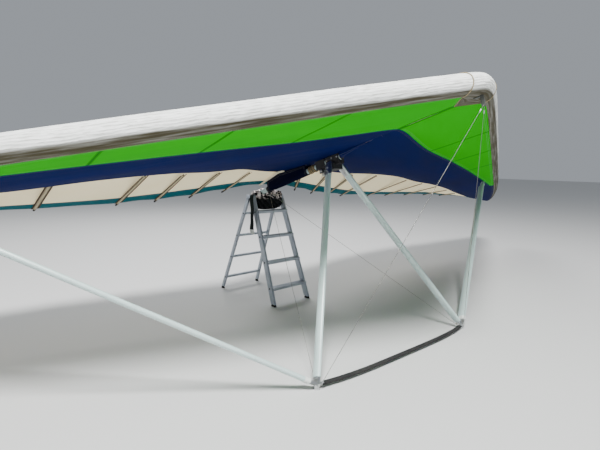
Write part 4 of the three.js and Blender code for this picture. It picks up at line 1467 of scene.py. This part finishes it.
    def _bundle(self) -> None:
        """Crumpled cloth stuffed between the rails, from the top tread to over the keel's tail."""
        depths, widths = SpanTable(self.bundle_depths), SpanTable(self.bundle_widths)
        low, high = self.bundle_depths[0][0], self.bundle_depths[-1][0]
        mesh = bmesh.new()
        bmesh.ops.create_icosphere(mesh, subdivisions=6, radius=1.0)
        mesh.loops.layers.uv.new("cloth")
        mesh.verts.layers.float.new("edge")
        for vert in mesh.verts:
            way = vert.co.normalized()
            height = low + (high - low) * (0.5 + 0.5 * copysign(abs(way.z) ** 0.7, way.z))
            angle = atan2(way.y, way.x)
            share = min(1.0, hypot(way.x, way.y) * 1.3) ** 0.65
            ahead, out = (copysign(abs(part) ** 0.75, part) for part in (cos(angle), sin(angle)))
            fold = noise.ridged_multi_fractal(way * 2.1 + Vector((4.1, 0.7, 2.9)), 0.9, 2.1, 4, 0.9, 2.0)
            crumple = noise.noise(way * 4.5 + Vector((1.3, 8.2, 0.4)))
            size = 1.0 + 0.09 * (fold - 1.0) + 0.13 * crumple
            vert.co = self.matrix @ Vector((
                self.bundle_ahead + depths.at(height) * ahead * share * size,
                widths.at(height) * out * share * min(size, 1.04),
                height + 0.16 * (size - 1.0) * max(way.z, 0.0)))
        self._press(mesh, low + 0.001)
        made = Maker.piece("bundled_cloth", mesh, "woven_cloth", replaces=["cloth_bundle"], smooth=80)

    def _press(self, mesh: Shape, floor: float) -> None:
        """Flattens the bundle on the ladder's top tread and dents it under the keel tube."""
        keel = Keel(Wing())
        start, back = (keel.wing.keel_point(run, 0, keel.axis(run)) for run in (0, -1))
        way = (back - start).normalized()
        room = keel.radius + 0.0035
        for vert in mesh.verts:
            vert.co.z = max(vert.co.z, floor)
            offset = vert.co - start
            across = offset - way * offset.dot(way)
            if across.length < room:
                beside = Vector((0, copysign(1, across.y), -0.3))
                side = (across if across.z < 0 else beside).normalized()
                vert.co += side * room - across

    def _hanging_tape(self) -> None:
        """Dark cloth end that comes out of the bundle over the rail and hangs outside it."""
        width, length = self.tape_size
        route = [SpanTable(rows) for rows in (self.tape_out, self.tape_ahead, self.tape_height)]

        def place(u: float, v: float) -> Vector:
            out, ahead, height = (table.at(u * length) for table in route)
            curl = 0.006 * sin(9 * u + 1.5 * v) + 0.003 * sin(23 * u)
            return self.matrix @ Vector((ahead + width * (v - 0.5), -out - curl * u, height))

        mesh = Maker.sheet(80, 8, place, lambda u, v: (length * u, width * (v - 0.5)))
        made = Maker.piece("hanging_cloth_end", mesh, "woven_cloth", smooth=70, finish="hanging_tape")


@dataclass
class Studio:
    """Pale floor, soft light and the camera at the photograph's viewing angle."""

    camera_at: Triple = (2.81115, -2.601, 1.394)
    yaw: float = 0.8725
    pitch: float = 0.1371
    roll: float = 0.0198
    focal_share: float = 434.67 / 600
    sensor: float = 36.0
    floor_half: float = 60
    sky: tuple[float, float, float, float] = (0.82, 0.88, 0.96, 1)
    sky_strength: float = 0.40
    lit: Triple = (0, 0, 1.1)
    lamps: tuple[tuple[str, Triple, float, float], ...] = (
        ("key", (4.0, -3.5, 9.0), 2.5, 2300.0), ("fill", (3.5, -6.0, 1.2), 4.0, 40.0),
        ("back", (-6.0, 2.0, 7.0), 4.0, 500.0))

    def build(self) -> None:
        """Makes the floor, the lights and the camera."""
        self._floor()
        self._lights()
        self._camera()

    def _add(self, name: str, data: bpy.types.ID) -> bpy.types.Object:
        """Puts a new object into the scene."""
        made = bpy.data.objects.new(name, data)
        bpy.context.scene.collection.objects.link(made)
        return made

    def _floor(self) -> None:
        """Lays the floor under everything."""
        mesh = bmesh.new()
        bmesh.ops.create_grid(mesh, x_segments=2, y_segments=2, size=self.floor_half)
        data = bpy.data.meshes.new("floor")
        mesh.to_mesh(data)
        mesh.free()
        data.materials.append(Finishes.get("pale_floor"))
        self._add("floor", data)

    def _lights(self) -> None:
        """Sets a bright soft sky, one high key light, a fill from below the wing and one behind."""
        world = bpy.data.worlds.new("studio")
        bpy.context.scene.world = world
        world.use_nodes = True
        sky = world.node_tree.nodes["Background"].inputs
        sky[0].default_value, sky[1].default_value = self.sky, self.sky_strength
        for name, at, size, power in self.lamps:
            light = bpy.data.lights.new(name, "AREA")
            light.size, light.energy = size, power
            lamp = self._add(name, light)
            lamp.location = at
            lamp.rotation_euler = (Vector(self.lit) - Vector(at)).to_track_quat("-Z", "Y").to_euler()

    def _camera(self) -> None:
        """Places the camera as the photograph's was."""
        view = Vector((
            -sin(self.yaw) * cos(self.pitch), cos(self.yaw) * cos(self.pitch),
            -sin(self.pitch)))
        level = Vector((cos(self.yaw), sin(self.yaw), 0))
        over = level.cross(view)
        right = level * cos(self.roll) + over * sin(self.roll)
        top = over * cos(self.roll) - level * sin(self.roll)
        data = bpy.data.cameras.new("camera")
        data.sensor_width, data.sensor_fit = self.sensor, "HORIZONTAL"
        data.lens = self.focal_share * self.sensor
        camera = self._add("camera", data)
        turned = Matrix((right, top, -view)).transposed().to_4x4()
        camera.matrix_world = Matrix.Translation(self.camera_at) @ turned
        bpy.context.scene.camera = camera


def main() -> None:
    """Builds every sub-assembly in order."""
    logging.basicConfig(level=logging.INFO, format="%(name)s: %(message)s")
    Finishes.dress_frame()
    Studio().build()
    wing = Wing()
    for assembly in (Canopy(wing), Battens(wing), Keel(wing), ControlFrame(wing), HangPoint(wing), Stepladder()):
        assembly.build()


if __name__ == "__main__":
    main()
